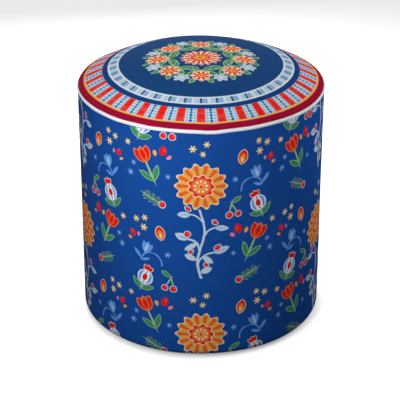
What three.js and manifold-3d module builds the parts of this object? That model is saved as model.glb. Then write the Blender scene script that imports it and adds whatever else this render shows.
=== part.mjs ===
// An upholstered drum stool, built in the order an upholsterer builds it: two plywood discs held
// apart by six softwood posts, a bent hardboard wall round them, a crowned foam seat, wadding,
// and a sewn cover with piping whose side is pulled down over the wall and turned in under the
// base. Black cloth closes the underside, and four glides carry the stool.
// Lengths are in millimetres, angles in degrees. +Z is up, the floor is z = 0, the front is -Y.

import * as THREE from "three";
import { mergeVertices } from "three/addons/utils/BufferGeometryUtils.js";
import Module from "manifold-3d";

// The whole stool
const SIDE_RADIUS = 210; // outside of the upholstered side
const SEAM_HEIGHT = 423; // floor to the seam between the top panel and the piping
const CLEARANCE = 0.3; // air between neighbours that touch
const ROUND_STEPS = 48; // facets round the stool
const SMALL_STEPS = 10; // facets round a screw or its bore
const GLIDE_STEPS = 16; // facets round a glide
const MERGE_DISTANCE = 0.0001; // points closer than this are one point

// Top panel: a dome that falls away faster towards its edge, then turns down to the seam
const PANEL_SET_BACK = 1; // from the side's face in to the panel's edge
const EDGE_RISE = 2.4; // from the seam up to the foot of the crown
const EDGE_SOFTENING = 1; // size of the corner where the crown turns down
const CROWN_RISE = 48; // from the foot of the crown to its middle
const CROWN_POWER = 2.5; // 2 is a plain dome, more is flatter in the middle
const CROWN_STEP_SHARES = [0, 0.35, 0.6, 0.78, 0.9, 0.97]; // of the panel's radius

// Piping and the seam that holds it
const PIPING_RADIUS = 3.25;
const PIPING_PROUD = 1.3; // how far it stands out of the side
const PIPING_STEPS = 8; // facets of the covered cord
const PIPING_STEP_ANGLE = 40; // no facet of the cord, or of the cloth round it, turns further
const SEAM_ALLOWANCE = 12; // from the middle of the piping down to the cut edges
const PLY_GAP = 0.2; // between the two plies of the piping's flange
const FLANGE_SHARE = 0.75; // the flange lies this share of the piping's radius in from its middle

// Cloth
const COVER_CLOTH = 0.9;
const PIPING_CLOTH = 0.5;
const DUST_CLOTH = 0.5;

// Side panel
const SIDE_DRAW_IN = 9; // height over which the side draws in under the piping
const LOWER_EDGE_RADIUS = 11.3;
const LOWER_EDGE_STEPS = 4;
const HEM_WIDTH = 27; // flat width turned in under the base

// Seat filling
const TOP_WADDING = 6;
const SEAT_DROP = 42; // from the seam down to the seat board
const FOAM_EDGE_DROP = 3; // how far the foam's top edge is pressed down

// Timber frame
const SEAT_BOARD = 15;
const BASE_BOARD = 18;
const ARRIS = 1.5; // corner taken off the boards
const POST_SIDE = 38;
const POST_COUNT = 6;
const WALL = 3; // hardboard
const WALL_JOINT = 1; // gap where the ends of the wall meet, at the back
const WALL_SET_UP = 2; // the wall stops this far above the underside of the base

// Underside
const DUST_LAP = 14; // how far the dust cover laps over the hem
const GLIDE_HEIGHT = 3.7;
const GLIDE_RADIUS = 12;
const GLIDE_FOOT_RADIUS = 9.5;
const GLIDE_CHAMFER_HEIGHT = 1.5;
const GLIDE_RECESS = 0.8; // depth of the screw's head above the floor
const GLIDE_TO_HEM = 5; // air between a glide and the hem
const GLIDE_COUNT = 4;

// Screws, all countersunk
const FRAME_SCREW = { length: 50, shank: 2.25, head: 4.5, headDepth: 2.6, point: 6 };
const GLIDE_SCREW = { length: 14, shank: 1.75, head: 3.4, headDepth: 1.7, point: 4 };
const BORE_OVERRUN = 1; // how far a cutter runs past the face that it opens

// Heights that follow, from the floor up
const DUST_BOTTOM = GLIDE_HEIGHT + CLEARANCE;
const HEM_BOTTOM = DUST_BOTTOM + DUST_CLOTH + CLEARANCE;
const BASE_BOTTOM = HEM_BOTTOM + COVER_CLOTH + CLEARANCE;
const BASE_TOP = BASE_BOTTOM + BASE_BOARD;
const SEAT_TOP = SEAM_HEIGHT - SEAT_DROP;
const SEAT_BOTTOM = SEAT_TOP - SEAT_BOARD;
const WALL_BOTTOM = BASE_BOTTOM + WALL_SET_UP;

// The piping, and the cloth that bends round it clear of its facets
const HALF_STEP_SHARE = Math.cos(THREE.MathUtils.degToRad(PIPING_STEP_ANGLE / 2));
const BEND_RADIUS = (PIPING_RADIUS + CLEARANCE) / HALF_STEP_SHARE;
const CORD_RADIUS = (PIPING_RADIUS - PIPING_CLOTH) * HALF_STEP_SHARE - CLEARANCE;
const PIPING_CENTRE = new THREE.Vector2(
  SIDE_RADIUS + PIPING_PROUD - PIPING_RADIUS,
  SEAM_HEIGHT - BEND_RADIUS,
);
const TAIL_BOTTOM = PIPING_CENTRE.y - SEAM_ALLOWANCE;

// Radii of the seam's layers, from the flange out and in
const FLANGE_RADIUS = PIPING_CENTRE.x - PIPING_RADIUS * FLANGE_SHARE;
const FLANGE_OUTER = FLANGE_RADIUS + PLY_GAP / 2 + PIPING_CLOTH;
const FLANGE_INNER = FLANGE_RADIUS - PLY_GAP / 2 - PIPING_CLOTH;
const SIDE_TAIL_RADIUS = FLANGE_OUTER + CLEARANCE;
const TOP_TAIL_RADIUS = PIPING_CENTRE.x - BEND_RADIUS;

// Radii of the frame, which fits inside the seam's layers
const FACET_SHARE = Math.cos(Math.PI / ROUND_STEPS); // middle of a facet, of its corners' radius
const FRAME_RADIUS = TOP_TAIL_RADIUS - COVER_CLOTH - CLEARANCE;
const WALL_BORE = FRAME_RADIUS - WALL;
const BOARD_RADIUS = WALL_BORE - CLEARANCE;
const POST_REACH = WALL_BORE * FACET_SHARE - CLEARANCE; // axis to a post's outer corners
const POST_RING = Math.sqrt(POST_REACH ** 2 - (POST_SIDE / 2) ** 2) - POST_SIDE / 2;
const POST_LENGTH = SEAT_BOTTOM - BASE_TOP - 2 * CLEARANCE;
const LOWER_EDGE_CENTRE = new THREE.Vector2(
  SIDE_RADIUS - LOWER_EDGE_RADIUS,
  HEM_BOTTOM + LOWER_EDGE_RADIUS,
);
const HEM_RADIUS = LOWER_EDGE_CENTRE.x - HEM_WIDTH;
const DUST_RADIUS = HEM_RADIUS + DUST_LAP;
const GLIDE_RING = HEM_RADIUS - GLIDE_TO_HEM - GLIDE_RADIUS;
const PANEL_RADIUS = SIDE_RADIUS - PANEL_SET_BACK;

// Angles round the stool, counted from +X
const BACK = 90;
const FIRST_GLIDE = 45;

const wasm = await Module();
wasm.setup();

// A point of an outline: its radius from the axis and its height.
const at = (radius, height) => new THREE.Vector2(radius, height);

// Points on an arc, both ends included.
function arc(centre, radius, from, to, steps) {
  const points = [];
  for (let i = 0; i <= steps; i += 1) {
    const angle = THREE.MathUtils.degToRad(THREE.MathUtils.lerp(from, to, i / steps));
    points.push(at(centre.x + radius * Math.cos(angle), centre.y + radius * Math.sin(angle)));
  }
  return points;
}

// The unit vector to the right of the way from one point to the next.
function rightOf(from, to) {
  const way = to.clone().sub(from).normalize();
  return at(way.y, -way.x);
}

// The path moved to its right, with mitred corners. A path that starts on the axis is half of
// one that crosses it, so its first point stays on the axis.
function moveRight(path, distance) {
  return path.map((point, i) => {
    const mirrored = point.x === 0 ? at(-path[1].x, path[1].y) : null;
    const before = i > 0 ? path[i - 1] : mirrored;
    const after = path[i + 1];
    const into = before ? rightOf(before, point) : rightOf(point, after);
    const out = after ? rightOf(point, after) : into;
    const middle = into.clone().add(out).normalize();
    return point.clone().addScaledVector(middle, distance / middle.dot(into));
  });
}

// The outline of cloth that lies along a path, to its right, or to its left if negative.
function clothOutline(path, thickness) {
  return [...path, ...moveRight(path, thickness).reverse()];
}

// A solid of revolution. The outline starts and ends on the axis, or goes round.
function turned(outline, steps = ROUND_STEPS) {
  const anticlockwise = THREE.ShapeUtils.area(outline) > 0;
  const profile = anticlockwise ? [...outline] : [...outline].reverse();
  if (profile[0].x > 0) profile.push(profile[0]);
  return new THREE.LatheGeometry(profile, steps).rotateX(Math.PI / 2);
}

// A geometry as a solid that can be cut.
function solidOf(geometry) {
  const bare = geometry.clone();
  bare.deleteAttribute("normal");
  bare.deleteAttribute("uv");
  const merged = mergeVertices(bare, MERGE_DISTANCE);
  const vertProperties = merged.getAttribute("position").array;
  const triVerts = new Uint32Array(merged.index.array);
  return new wasm.Manifold(new wasm.Mesh({ numProp: 3, vertProperties, triVerts }));
}

// What is left of a geometry once all the cutters have been through it.
function cut(geometry, cutters) {
  const left = cutters.reduce((solid, cutter) => solid.subtract(solidOf(cutter)), solidOf(geometry));
  const mesh = left.getMesh();
  const result = new THREE.BufferGeometry();
  result.setAttribute("position", new THREE.BufferAttribute(mesh.vertProperties, mesh.numProp));
  result.setIndex(new THREE.BufferAttribute(mesh.triVerts, 1));
  result.computeVertexNormals();
  return result;
}

// A copy of a geometry, set at an angle and a distance round the axis, upside down if asked.
function setRound(geometry, angle, radius, height, upsideDown) {
  const place = new THREE.Matrix4().makeRotationZ(THREE.MathUtils.degToRad(angle));
  place.multiply(new THREE.Matrix4().makeTranslation(radius, 0, height));
  if (upsideDown) place.multiply(new THREE.Matrix4().makeRotationX(Math.PI));
  return geometry.clone().applyMatrix4(place);
}

// Angles of equal steps round the stool.
function anglesRound(count, first) {
  return Array.from({ length: count }, (_, i) => first + (i * 360) / count);
}

const POST_ANGLES = anglesRound(POST_COUNT, BACK);
const GLIDE_ANGLES = anglesRound(GLIDE_COUNT, FIRST_GLIDE);

// A screw with the face of its head at the origin and its point below.
function screwGeometry(screw) {
  return turned(
    [
      at(0, -screw.length),
      at(screw.shank, screw.point - screw.length),
      at(screw.shank, -screw.headDepth),
      at(screw.head, 0),
      at(0, 0),
    ],
    SMALL_STEPS,
  );
}

// The hole for a screw, open above its head.
function boreGeometry(screw) {
  const shank = screw.shank + CLEARANCE;
  const head = screw.head + CLEARANCE;
  const bottom = -screw.length - CLEARANCE;
  return turned(
    [
      at(0, bottom),
      at(shank, bottom),
      at(shank, -screw.headDepth - CLEARANCE),
      at(head, -CLEARANCE),
      at(head, BORE_OVERRUN),
      at(0, BORE_OVERRUN),
    ],
    SMALL_STEPS,
  );
}

// A plywood disc with its corners taken off.
function boardGeometry(bottom, thickness) {
  const top = bottom + thickness;
  return turned([
    at(0, bottom),
    at(BOARD_RADIUS - ARRIS, bottom),
    at(BOARD_RADIUS, bottom + ARRIS),
    at(BOARD_RADIUS, top - ARRIS),
    at(BOARD_RADIUS - ARRIS, top),
    at(0, top),
  ]);
}

// The base board, bored from below for the posts' screws and the glides' screws.
function baseBoardGeometry() {
  const frameBore = boreGeometry(FRAME_SCREW);
  const glideBore = boreGeometry(GLIDE_SCREW);
  const bores = [
    ...POST_ANGLES.map((angle) => setRound(frameBore, angle, POST_RING, BASE_BOTTOM, true)),
    ...GLIDE_ANGLES.map((angle) => setRound(glideBore, angle, GLIDE_RING, GLIDE_RECESS, true)),
  ];
  return cut(boardGeometry(BASE_BOTTOM, BASE_BOARD), bores);
}

// The seat board, bored from above for the posts' screws.
function seatBoardGeometry() {
  const frameBore = boreGeometry(FRAME_SCREW);
  const bores = POST_ANGLES.map((angle) => setRound(frameBore, angle, POST_RING, SEAT_TOP, false));
  return cut(boardGeometry(SEAT_BOTTOM, SEAT_BOARD), bores);
}

// A post that stands on its own origin, bored at both ends.
function postGeometry() {
  const bar = new THREE.BoxGeometry(POST_SIDE, POST_SIDE, POST_LENGTH);
  bar.translate(0, 0, POST_LENGTH / 2);
  const bore = boreGeometry(FRAME_SCREW);
  const lower = setRound(bore, 0, 0, -BASE_BOARD - CLEARANCE, true);
  const upper = setRound(bore, 0, 0, POST_LENGTH + SEAT_BOARD + CLEARANCE, false);
  return cut(bar, [lower, upper]);
}

// The bent hardboard wall, with its ends meeting at the back over a post.
function wallGeometry() {
  const ring = turned([
    at(WALL_BORE, WALL_BOTTOM),
    at(FRAME_RADIUS, WALL_BOTTOM),
    at(FRAME_RADIUS, SEAT_TOP),
    at(WALL_BORE, SEAT_TOP),
  ]);
  const joint = new THREE.BoxGeometry(WALL_JOINT, 2 * WALL, SEAT_TOP + BORE_OVERRUN);
  joint.translate(0, FRAME_RADIUS - WALL / 2, (SEAT_TOP + BORE_OVERRUN) / 2);
  return cut(ring, [joint]);
}

// Height of the crown at a radius.
function crownAt(radius) {
  const fall = (radius / PANEL_RADIUS) ** CROWN_POWER;
  return SEAM_HEIGHT + EDGE_RISE + CROWN_RISE * (1 - fall);
}

// The crown's face from the axis to where the panel's edge begins to turn down.
function crownPath() {
  const crown = CROWN_STEP_SHARES.map((share) => at(share * PANEL_RADIUS, crownAt(share * PANEL_RADIUS)));
  const lastRadius = PANEL_RADIUS - EDGE_SOFTENING;
  return [...crown, at(lastRadius, crownAt(lastRadius))];
}

// The crowned top panel: over the seat, round the upper side of the piping and down as a tail.
function topCoverGeometry() {
  const bend = arc(PIPING_CENTRE, BEND_RADIUS, 75, 180, 3);
  const path = [
    ...crownPath(),
    at(PANEL_RADIUS, SEAM_HEIGHT + EDGE_RISE - EDGE_SOFTENING),
    ...bend,
    at(TOP_TAIL_RADIUS, TAIL_BOTTOM),
  ];
  return turned(clothOutline(path, COVER_CLOTH));
}

// The wadding under the top panel. It ends above the seam's cloth.
function topWaddingGeometry() {
  const over = moveRight(crownPath(), COVER_CLOTH + CLEARANCE);
  const under = moveRight(crownPath().slice(0, -1), COVER_CLOTH + CLEARANCE + TOP_WADDING);
  const lowest = SEAM_HEIGHT + COVER_CLOTH + CLEARANCE;
  const edge = over[over.length - 1];
  const inner = under.filter((point) => point.y > lowest);
  const innerEdge = at(FRAME_RADIUS, lowest);
  return turned([...over, at(edge.x, lowest), innerEdge, ...inner.reverse()]);
}

// The foam seat, crowned like the panel over it.
function foamGeometry() {
  const depth = COVER_CLOTH + TOP_WADDING + 2 * CLEARANCE;
  const over = moveRight(crownPath(), depth).filter((point) => point.x < FRAME_RADIUS - FOAM_EDGE_DROP);
  const edgeHeight = over[over.length - 1].y - FOAM_EDGE_DROP;
  return turned([
    ...over,
    at(FRAME_RADIUS, edgeHeight),
    at(FRAME_RADIUS, SEAT_TOP + CLEARANCE),
    at(0, SEAT_TOP + CLEARANCE),
  ]);
}

// The cord inside the piping.
function pipingCordGeometry() {
  const round = arc(PIPING_CENTRE, CORD_RADIUS, 0, 360, PIPING_STEPS);
  return turned(round.slice(0, -1));
}

// The piping's cloth: up from its cut edge, round the cord and down again beside itself.
function pipingCoverGeometry() {
  const leaving = (radius) =>
    THREE.MathUtils.radToDeg(Math.acos((radius - PIPING_CENTRE.x) / PIPING_RADIUS));
  const from = 360 - leaving(FLANGE_INNER);
  const to = -leaving(FLANGE_OUTER);
  const path = [
    at(FLANGE_INNER, TAIL_BOTTOM),
    ...arc(PIPING_CENTRE, PIPING_RADIUS, from, to, PIPING_STEPS),
    at(FLANGE_OUTER, TAIL_BOTTOM),
  ];
  return turned(clothOutline(path, PIPING_CLOTH));
}

// The lower part of the side panel's face: the hem, the rounded lower edge and the upright side.
function sidePath() {
  return [
    at(HEM_RADIUS, HEM_BOTTOM),
    ...arc(LOWER_EDGE_CENTRE, LOWER_EDGE_RADIUS, -90, 0, LOWER_EDGE_STEPS),
    at(SIDE_RADIUS, PIPING_CENTRE.y - BEND_RADIUS - SIDE_DRAW_IN),
  ];
}

// The side panel: hem, rounded lower edge, upright side, and round the piping's lower side into
// a tail.
function sideCoverGeometry() {
  const across = SIDE_TAIL_RADIUS - PIPING_CENTRE.x;
  const tailTop = PIPING_CENTRE.y - Math.sqrt(BEND_RADIUS ** 2 - across ** 2);
  const path = [
    ...sidePath(),
    ...arc(PIPING_CENTRE, BEND_RADIUS, -68, -88, 1),
    at(SIDE_TAIL_RADIUS, tailTop),
    at(SIDE_TAIL_RADIUS, TAIL_BOTTOM),
  ];
  return turned(clothOutline(path, -COVER_CLOTH));
}

// The wadding between the wall and the side panel, up to the seam's cut edges.
function sideWaddingGeometry() {
  const inner = FRAME_RADIUS + CLEARANCE;
  const top = TAIL_BOTTOM - CLEARANCE;
  const outer = moveRight(sidePath(), -COVER_CLOTH - CLEARANCE).filter(
    (point) => point.x > inner && point.y > WALL_BOTTOM && point.y < top,
  );
  const side = outer[outer.length - 1].x;
  return turned([at(inner, WALL_BOTTOM), ...outer, at(side, top), at(inner, top)]);
}

// The black cloth that closes the underside, with holes for the glides' screws.
function dustCoverGeometry() {
  const top = DUST_BOTTOM + DUST_CLOTH;
  const disc = turned([at(0, DUST_BOTTOM), at(DUST_RADIUS, DUST_BOTTOM), at(DUST_RADIUS, top), at(0, top)]);
  const bore = boreGeometry(GLIDE_SCREW);
  const holes = GLIDE_ANGLES.map((angle) => setRound(bore, angle, GLIDE_RING, GLIDE_RECESS, true));
  return cut(disc, holes);
}

// A glide that stands on its own origin: a low chamfered disc with a countersunk hole.
function glideGeometry() {
  const bore = GLIDE_SCREW.shank + CLEARANCE;
  const sink = GLIDE_SCREW.head + CLEARANCE;
  return turned(
    [
      at(sink, 0),
      at(GLIDE_FOOT_RADIUS, 0),
      at(GLIDE_RADIUS, GLIDE_CHAMFER_HEIGHT),
      at(GLIDE_RADIUS, GLIDE_HEIGHT),
      at(bore, GLIDE_HEIGHT),
      at(bore, GLIDE_RECESS + GLIDE_SCREW.headDepth + CLEARANCE),
      at(sink, GLIDE_RECESS + CLEARANCE),
    ],
    GLIDE_STEPS,
  );
}

// Finishes
const finish = (color, roughness, metalness = 0) =>
  new THREE.MeshStandardMaterial({ color, roughness, metalness });
const FINISHES = {
  topCloth: finish(0x26507f, 0.9),
  sideCloth: finish(0x24569c, 0.9),
  pipingCloth: finish(0xe2e0da, 0.85),
  cord: finish(0xd8d2c0, 0.95),
  wadding: finish(0xf0efea, 1),
  foam: finish(0xe8dfb8, 0.95),
  plywood: finish(0xc9a878, 0.7),
  softwood: finish(0xd8b98a, 0.75),
  hardboard: finish(0x8a6242, 0.8),
  steel: finish(0xb9b6ad, 0.35, 1),
  dustCloth: finish(0x1b1b1d, 0.95),
  glide: finish(0x2a2a2c, 0.5),
};

// A named mesh of one piece.
function piece(name, geometry, material) {
  const mesh = new THREE.Mesh(geometry, material);
  mesh.name = name;
  return mesh;
}

// A post with the two screws that hold it, in a group turned to its angle.
function postGroup(number, angle, post, screw) {
  const group = new THREE.Group();
  group.rotation.z = THREE.MathUtils.degToRad(angle);
  const bar = piece(`post_${number}`, post, FINISHES.softwood);
  bar.position.set(POST_RING, 0, BASE_TOP + CLEARANCE);
  const lower = piece(`base_screw_${number}`, screw, FINISHES.steel);
  lower.position.set(POST_RING, 0, BASE_BOTTOM);
  lower.rotation.x = Math.PI;
  const upper = piece(`seat_screw_${number}`, screw, FINISHES.steel);
  upper.position.set(POST_RING, 0, SEAT_TOP);
  group.add(bar, lower, upper);
  return group;
}

// A glide with its screw, in a group turned to its angle.
function glideGroup(number, angle, glide, screw) {
  const group = new THREE.Group();
  group.rotation.z = THREE.MathUtils.degToRad(angle);
  const foot = piece(`glide_${number}`, glide, FINISHES.glide);
  foot.position.set(GLIDE_RING, 0, 0);
  const fixing = piece(`glide_screw_${number}`, screw, FINISHES.steel);
  fixing.position.set(GLIDE_RING, 0, GLIDE_RECESS);
  fixing.rotation.x = Math.PI;
  group.add(foot, fixing);
  return group;
}

// The timber frame.
function frameGroup() {
  const group = new THREE.Group();
  const post = postGeometry();
  const screw = screwGeometry(FRAME_SCREW);
  group.add(piece("base_board", baseBoardGeometry(), FINISHES.plywood));
  group.add(piece("seat_board", seatBoardGeometry(), FINISHES.plywood));
  group.add(piece("drum_wall", wallGeometry(), FINISHES.hardboard));
  POST_ANGLES.forEach((angle, i) => group.add(postGroup(i + 1, angle, post, screw)));
  return group;
}

// Foam, wadding and the sewn cover.
function upholsteryGroup() {
  const group = new THREE.Group();
  group.add(piece("seat_foam", foamGeometry(), FINISHES.foam));
  group.add(piece("top_wadding", topWaddingGeometry(), FINISHES.wadding));
  group.add(piece("side_wadding", sideWaddingGeometry(), FINISHES.wadding));
  group.add(piece("top_cover", topCoverGeometry(), FINISHES.topCloth));
  group.add(piece("piping_cord", pipingCordGeometry(), FINISHES.cord));
  group.add(piece("piping_cover", pipingCoverGeometry(), FINISHES.pipingCloth));
  group.add(piece("side_cover", sideCoverGeometry(), FINISHES.sideCloth));
  return group;
}

// Dust cover and glides.
function undersideGroup() {
  const group = new THREE.Group();
  const glide = glideGeometry();
  const screw = screwGeometry(GLIDE_SCREW);
  group.add(piece("dust_cover", dustCoverGeometry(), FINISHES.dustCloth));
  GLIDE_ANGLES.forEach((angle, i) => group.add(glideGroup(i + 1, angle, glide, screw)));
  return group;
}

const stool = new THREE.Group();
stool.add(frameGroup(), upholsteryGroup(), undersideGroup());

export default stool;
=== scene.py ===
"""A round footstool in printed cloth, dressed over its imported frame.

The timber frame comes from the frame file. The sewn cover, its piping, the fillings, the lining
and the small hardware are modelled here, and every surface gets its finish. Lengths are in
metres unless a name says otherwise. The stool's axis is Z, and its front faces -Y.
"""

import logging
import math
from dataclasses import dataclass
from enum import Enum
from typing import Callable, Mapping, Optional, Sequence, Union

import bmesh
import bpy
from bmesh.types import BMEdge, BMesh, BMVert
from bpy.types import Material, Node, NodeSocket, Object
from mathutils import Matrix, Vector, noise


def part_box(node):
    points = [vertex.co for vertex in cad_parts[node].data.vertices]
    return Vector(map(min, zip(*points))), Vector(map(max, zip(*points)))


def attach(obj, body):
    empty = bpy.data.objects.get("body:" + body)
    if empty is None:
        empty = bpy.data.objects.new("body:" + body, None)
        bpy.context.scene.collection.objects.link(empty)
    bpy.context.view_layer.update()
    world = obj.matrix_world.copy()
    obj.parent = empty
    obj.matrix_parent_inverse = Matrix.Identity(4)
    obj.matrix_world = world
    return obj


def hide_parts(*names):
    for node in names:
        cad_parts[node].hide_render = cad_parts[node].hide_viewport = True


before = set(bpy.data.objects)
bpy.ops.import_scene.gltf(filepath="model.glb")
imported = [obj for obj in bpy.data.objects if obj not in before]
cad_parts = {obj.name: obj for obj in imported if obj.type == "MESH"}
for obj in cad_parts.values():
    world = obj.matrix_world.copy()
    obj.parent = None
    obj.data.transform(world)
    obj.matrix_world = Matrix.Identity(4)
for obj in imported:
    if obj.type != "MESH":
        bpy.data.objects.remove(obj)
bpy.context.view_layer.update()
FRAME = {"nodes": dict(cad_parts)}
LOG = logging.getLogger("tuffet")

BODY = "root"
CLOTH_MAP = "cloth"
MM = 0.001
MM_PER_M = 1000.0
FULL_TURN = 2.0 * math.pi
ROUND_STEPS = 240
WELD = 1e-6
PRINT_EDGE_MM = 0.7
TINY = 1e-4

Rgb = tuple[float, float, float]


def srgb(red: int, green: int, blue: int) -> Rgb:
    """Gives the linear colour of an 8-bit screen colour.

    Args:
        red: Red, 0 to 255.
        green: Green, 0 to 255.
        blue: Blue, 0 to 255.

    Returns:
        The linear red, green and blue.
    """

    def linear(level: int) -> float:
        """Gives one channel's linear level."""
        share = level / 255.0
        return share / 12.92 if share <= 0.04045 else ((share + 0.055) / 1.055) ** 2.4

    return linear(red), linear(green), linear(blue)


class Ink(Enum):
    """The colours that the cloths are printed in."""

    GROUND = srgb(22, 72, 149)
    FIELD = srgb(22, 64, 116)
    RING_BLUE = srgb(18, 58, 116)
    DEEP_BLUE = srgb(36, 78, 128)
    MID_BLUE = srgb(130, 163, 198)
    SKY = srgb(94, 148, 222)
    PALE_BLUE = srgb(180, 202, 222)
    MIST = srgb(200, 213, 223)
    SAGE = srgb(166, 190, 200)
    MINT = srgb(168, 206, 198)
    DASH_BLUE = srgb(112, 154, 210)
    WHITE = srgb(224, 230, 234)
    CREAM = srgb(236, 222, 190)
    STRAW = srgb(226, 204, 134)
    YELLOW = srgb(226, 166, 74)
    ORANGE = srgb(228, 126, 62)
    RED = srgb(216, 30, 24)
    ROSE = srgb(222, 84, 82)
    PINK = srgb(226, 128, 150)
    WINE = srgb(146, 10, 46)
    GREEN = srgb(56, 134, 96)
    DARK_GREEN = srgb(44, 98, 88)
    LIME = srgb(150, 190, 130)
    DIAMOND_BLUE = srgb(36, 78, 168)


# Shader arithmetic


def arithmetic(operation: str, swapped: bool = False) -> Callable[["Value", "Number"], "Value"]:
    """Makes a method of Value that adds one Math node for two numbers.

    Args:
        operation: The node's operation.
        swapped: Whether the other number goes in first.

    Returns:
        The method.
    """

    def method(self: "Value", other: "Number") -> "Value":
        """Works out the two numbers together."""
        return self.shader.math(operation, *((other, self) if swapped else (self, other)))

    return method


class Value:
    """A number that varies over a surface. Python's arithmetic on it adds Math nodes."""

    def __init__(self, shader: "Shader", socket: NodeSocket) -> None:
        """Keeps the shader, and the socket that gives the number."""
        self.shader = shader
        self.socket = socket

    __add__ = __radd__ = arithmetic("ADD")
    __mul__ = __rmul__ = arithmetic("MULTIPLY")
    __sub__ = arithmetic("SUBTRACT")
    __rsub__ = arithmetic("SUBTRACT", swapped=True)
    __truediv__ = arithmetic("DIVIDE")
    least = arithmetic("MINIMUM")
    most = arithmetic("MAXIMUM")

    def math(self, operation: str, *others: "Number", clamp: bool = False) -> "Value":
        """Adds one Math node that has this value as its first input."""
        return self.shader.math(operation, self, *others, clamp=clamp)

    def __neg__(self) -> "Value":
        """Changes the sign."""
        return self.math("MULTIPLY", -1.0)

    def __abs__(self) -> "Value":
        """Drops the sign."""
        return self.math("ABSOLUTE")

    def ramp(self, level: float, slope: float) -> "Value":
        """Gives 0 at a level, and 1 once it has climbed by a slope past it."""
        return (self - level).math("MULTIPLY", slope, clamp=True)

    def inside(self, grow: float = 0.0, edge: float = PRINT_EDGE_MM) -> "Value":
        """Turns a distance from an outline, less than 0 within it, into a mask.

        Args:
            grow: How far the mask reaches past the outline.
            edge: The width over which the mask fades out.

        Returns:
            1 within the outline and 0 outside it.
        """
        return self.math("MULTIPLY_ADD", -1.0 / edge, 0.5 + grow / edge, clamp=True)


Number = Union[float, Value]


class Spot:
    """A point of the cloth, in the axes of what is drawn there, in millimetres."""

    parts: Optional[tuple[Value, Value]] = None

    def __init__(self, shader: "Shader", socket: NodeSocket) -> None:
        """Keeps the shader, and the socket that gives the point."""
        self.shader = shader
        self.socket = socket

    def vector(self, operation: str, *others: Sequence[float]) -> Node:
        """Adds one Vector Math node that has this point as its first input."""
        return self.shader.vector(operation, self, *others)

    def placed(
        self, x: float, y: float, turn: float = 0.0, wide: float = 1.0, tall: float = 1.0
    ) -> "Spot":
        """Gives this point in the axes of a motif.

        Args:
            x: Where the motif stands, across.
            y: Where the motif stands, up.
            turn: How far the motif is turned anticlockwise, in degrees.
            wide: How much wider than drawn it is.
            tall: How much taller than drawn it is.

        Returns:
            The point as the motif sees it.
        """
        inputs = {
            "Vector": self,
            "Location": (x, y, 0.0),
            "Rotation": (0.0, 0.0, math.radians(turn)),
            "Scale": (wide, tall, 1.0),
        }
        made = self.shader.node("ShaderNodeMapping", {"vector_type": "TEXTURE"}, inputs)
        return Spot(self.shader, made.outputs[0])

    def split(self) -> tuple[Value, Value]:
        """Gives the point's two parts.

        Returns:
            The part across and the part up.
        """
        if self.parts is None:
            made = self.shader.node("ShaderNodeSeparateXYZ", {}, {0: self})
            self.parts = (Value(self.shader, made.outputs[0]), Value(self.shader, made.outputs[1]))
        return self.parts

    def folded(self) -> "Spot":
        """Gives the point mirrored to the right of the motif's upright axis."""
        x, y = self.split()
        return self.shader.spot(abs(x), y)

    def quartered(self) -> "Spot":
        """Gives the point mirrored into the quarter to the right and up."""
        return Spot(self.shader, self.vector("ABSOLUTE").outputs[0])

    def length(self) -> Value:
        """Gives the distance to the motif's middle."""
        return Value(self.shader, self.vector("LENGTH").outputs["Value"])

    def angle(self) -> Value:
        """Gives the direction of the point from the motif's middle, in radians."""
        x, y = self.split()
        return y.math("ARCTAN2", x)

    def disc(self, radius: float) -> Value:
        """Gives the distance to a round."""
        return self.length() - radius

    def ring(self, radius: float, half_width: float) -> Value:
        """Gives the distance to a round band."""
        return abs(self.length() - radius) - half_width

    def leaf(self, long: float, wide: float) -> Value:
        """Gives the distance to a pointed leaf that stands on the motif's middle.

        Args:
            long: The leaf's length.
            wide: Its width.

        Returns:
            The distance, less than 0 within the leaf.
        """
        half_long, half_wide = long / 2.0, wide / 2.0
        bow = (half_long**2 + half_wide**2) / (2.0 * half_wide)
        middle = Spot(self.shader, self.vector("SUBTRACT", (0.0, half_long, 0.0)).outputs[0])
        pushed = middle.quartered().vector("ADD", (bow - half_wide, 0.0, 0.0))
        return Spot(self.shader, pushed.outputs[0]).length() - bow

    def bloom(self, petals: int, radius: float, depth: float) -> Value:
        """Gives the distance to a round flower.

        Args:
            petals: How many petals stand round it.
            radius: From the middle to the petals' tips.
            depth: How deep the notches are, as a share of the radius.

        Returns:
            The distance, less than 0 within the flower.
        """
        swing = (self.angle() * float(petals)).math("COSINE")
        return self.length() - swing.math(
            "MULTIPLY_ADD", radius * depth / 2.0, radius * (1.0 - depth / 2.0)
        )


class Paint:
    """A colour that varies over a surface, built up ink by ink."""

    def __init__(self, shader: "Shader", source: Union[Ink, Rgb, NodeSocket]) -> None:
        """Keeps the shader, and the colour to begin with."""
        self.shader = shader
        self.source = source.value if isinstance(source, Ink) else source

    def over(self, mask: Number, ink: Union[Ink, Rgb, "Paint"], blend: str = "MIX") -> "Paint":
        """Lays a colour over this one.

        Args:
            mask: How much of the colour is laid.
            ink: The colour.
            blend: How the two are mixed.

        Returns:
            This paint, with the colour on it.
        """
        laid = ink.source if isinstance(ink, Paint) else ink.value if isinstance(ink, Ink) else ink
        settings = {"data_type": "RGBA", "blend_type": blend}
        made = self.shader.node("ShaderNodeMix", settings, {0: mask, 6: self.source, 7: laid})
        self.source = made.outputs[2]
        return self

    def stamp(self, outline: Value, ink: Union[Ink, Rgb], grow: float = 0.0) -> "Paint":
        """Fills an outline with an ink."""
        return self.over(outline.inside(grow), ink)

    def toned(self, level: Value) -> "Paint":
        """Makes the colour lighter or darker, where 1 leaves it as it is."""
        grey = self.shader.node("ShaderNodeCombineXYZ", {}, {0: level, 1: level, 2: level})
        return self.over(1.0, Paint(self.shader, grey.outputs[0]), "MULTIPLY")


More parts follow.
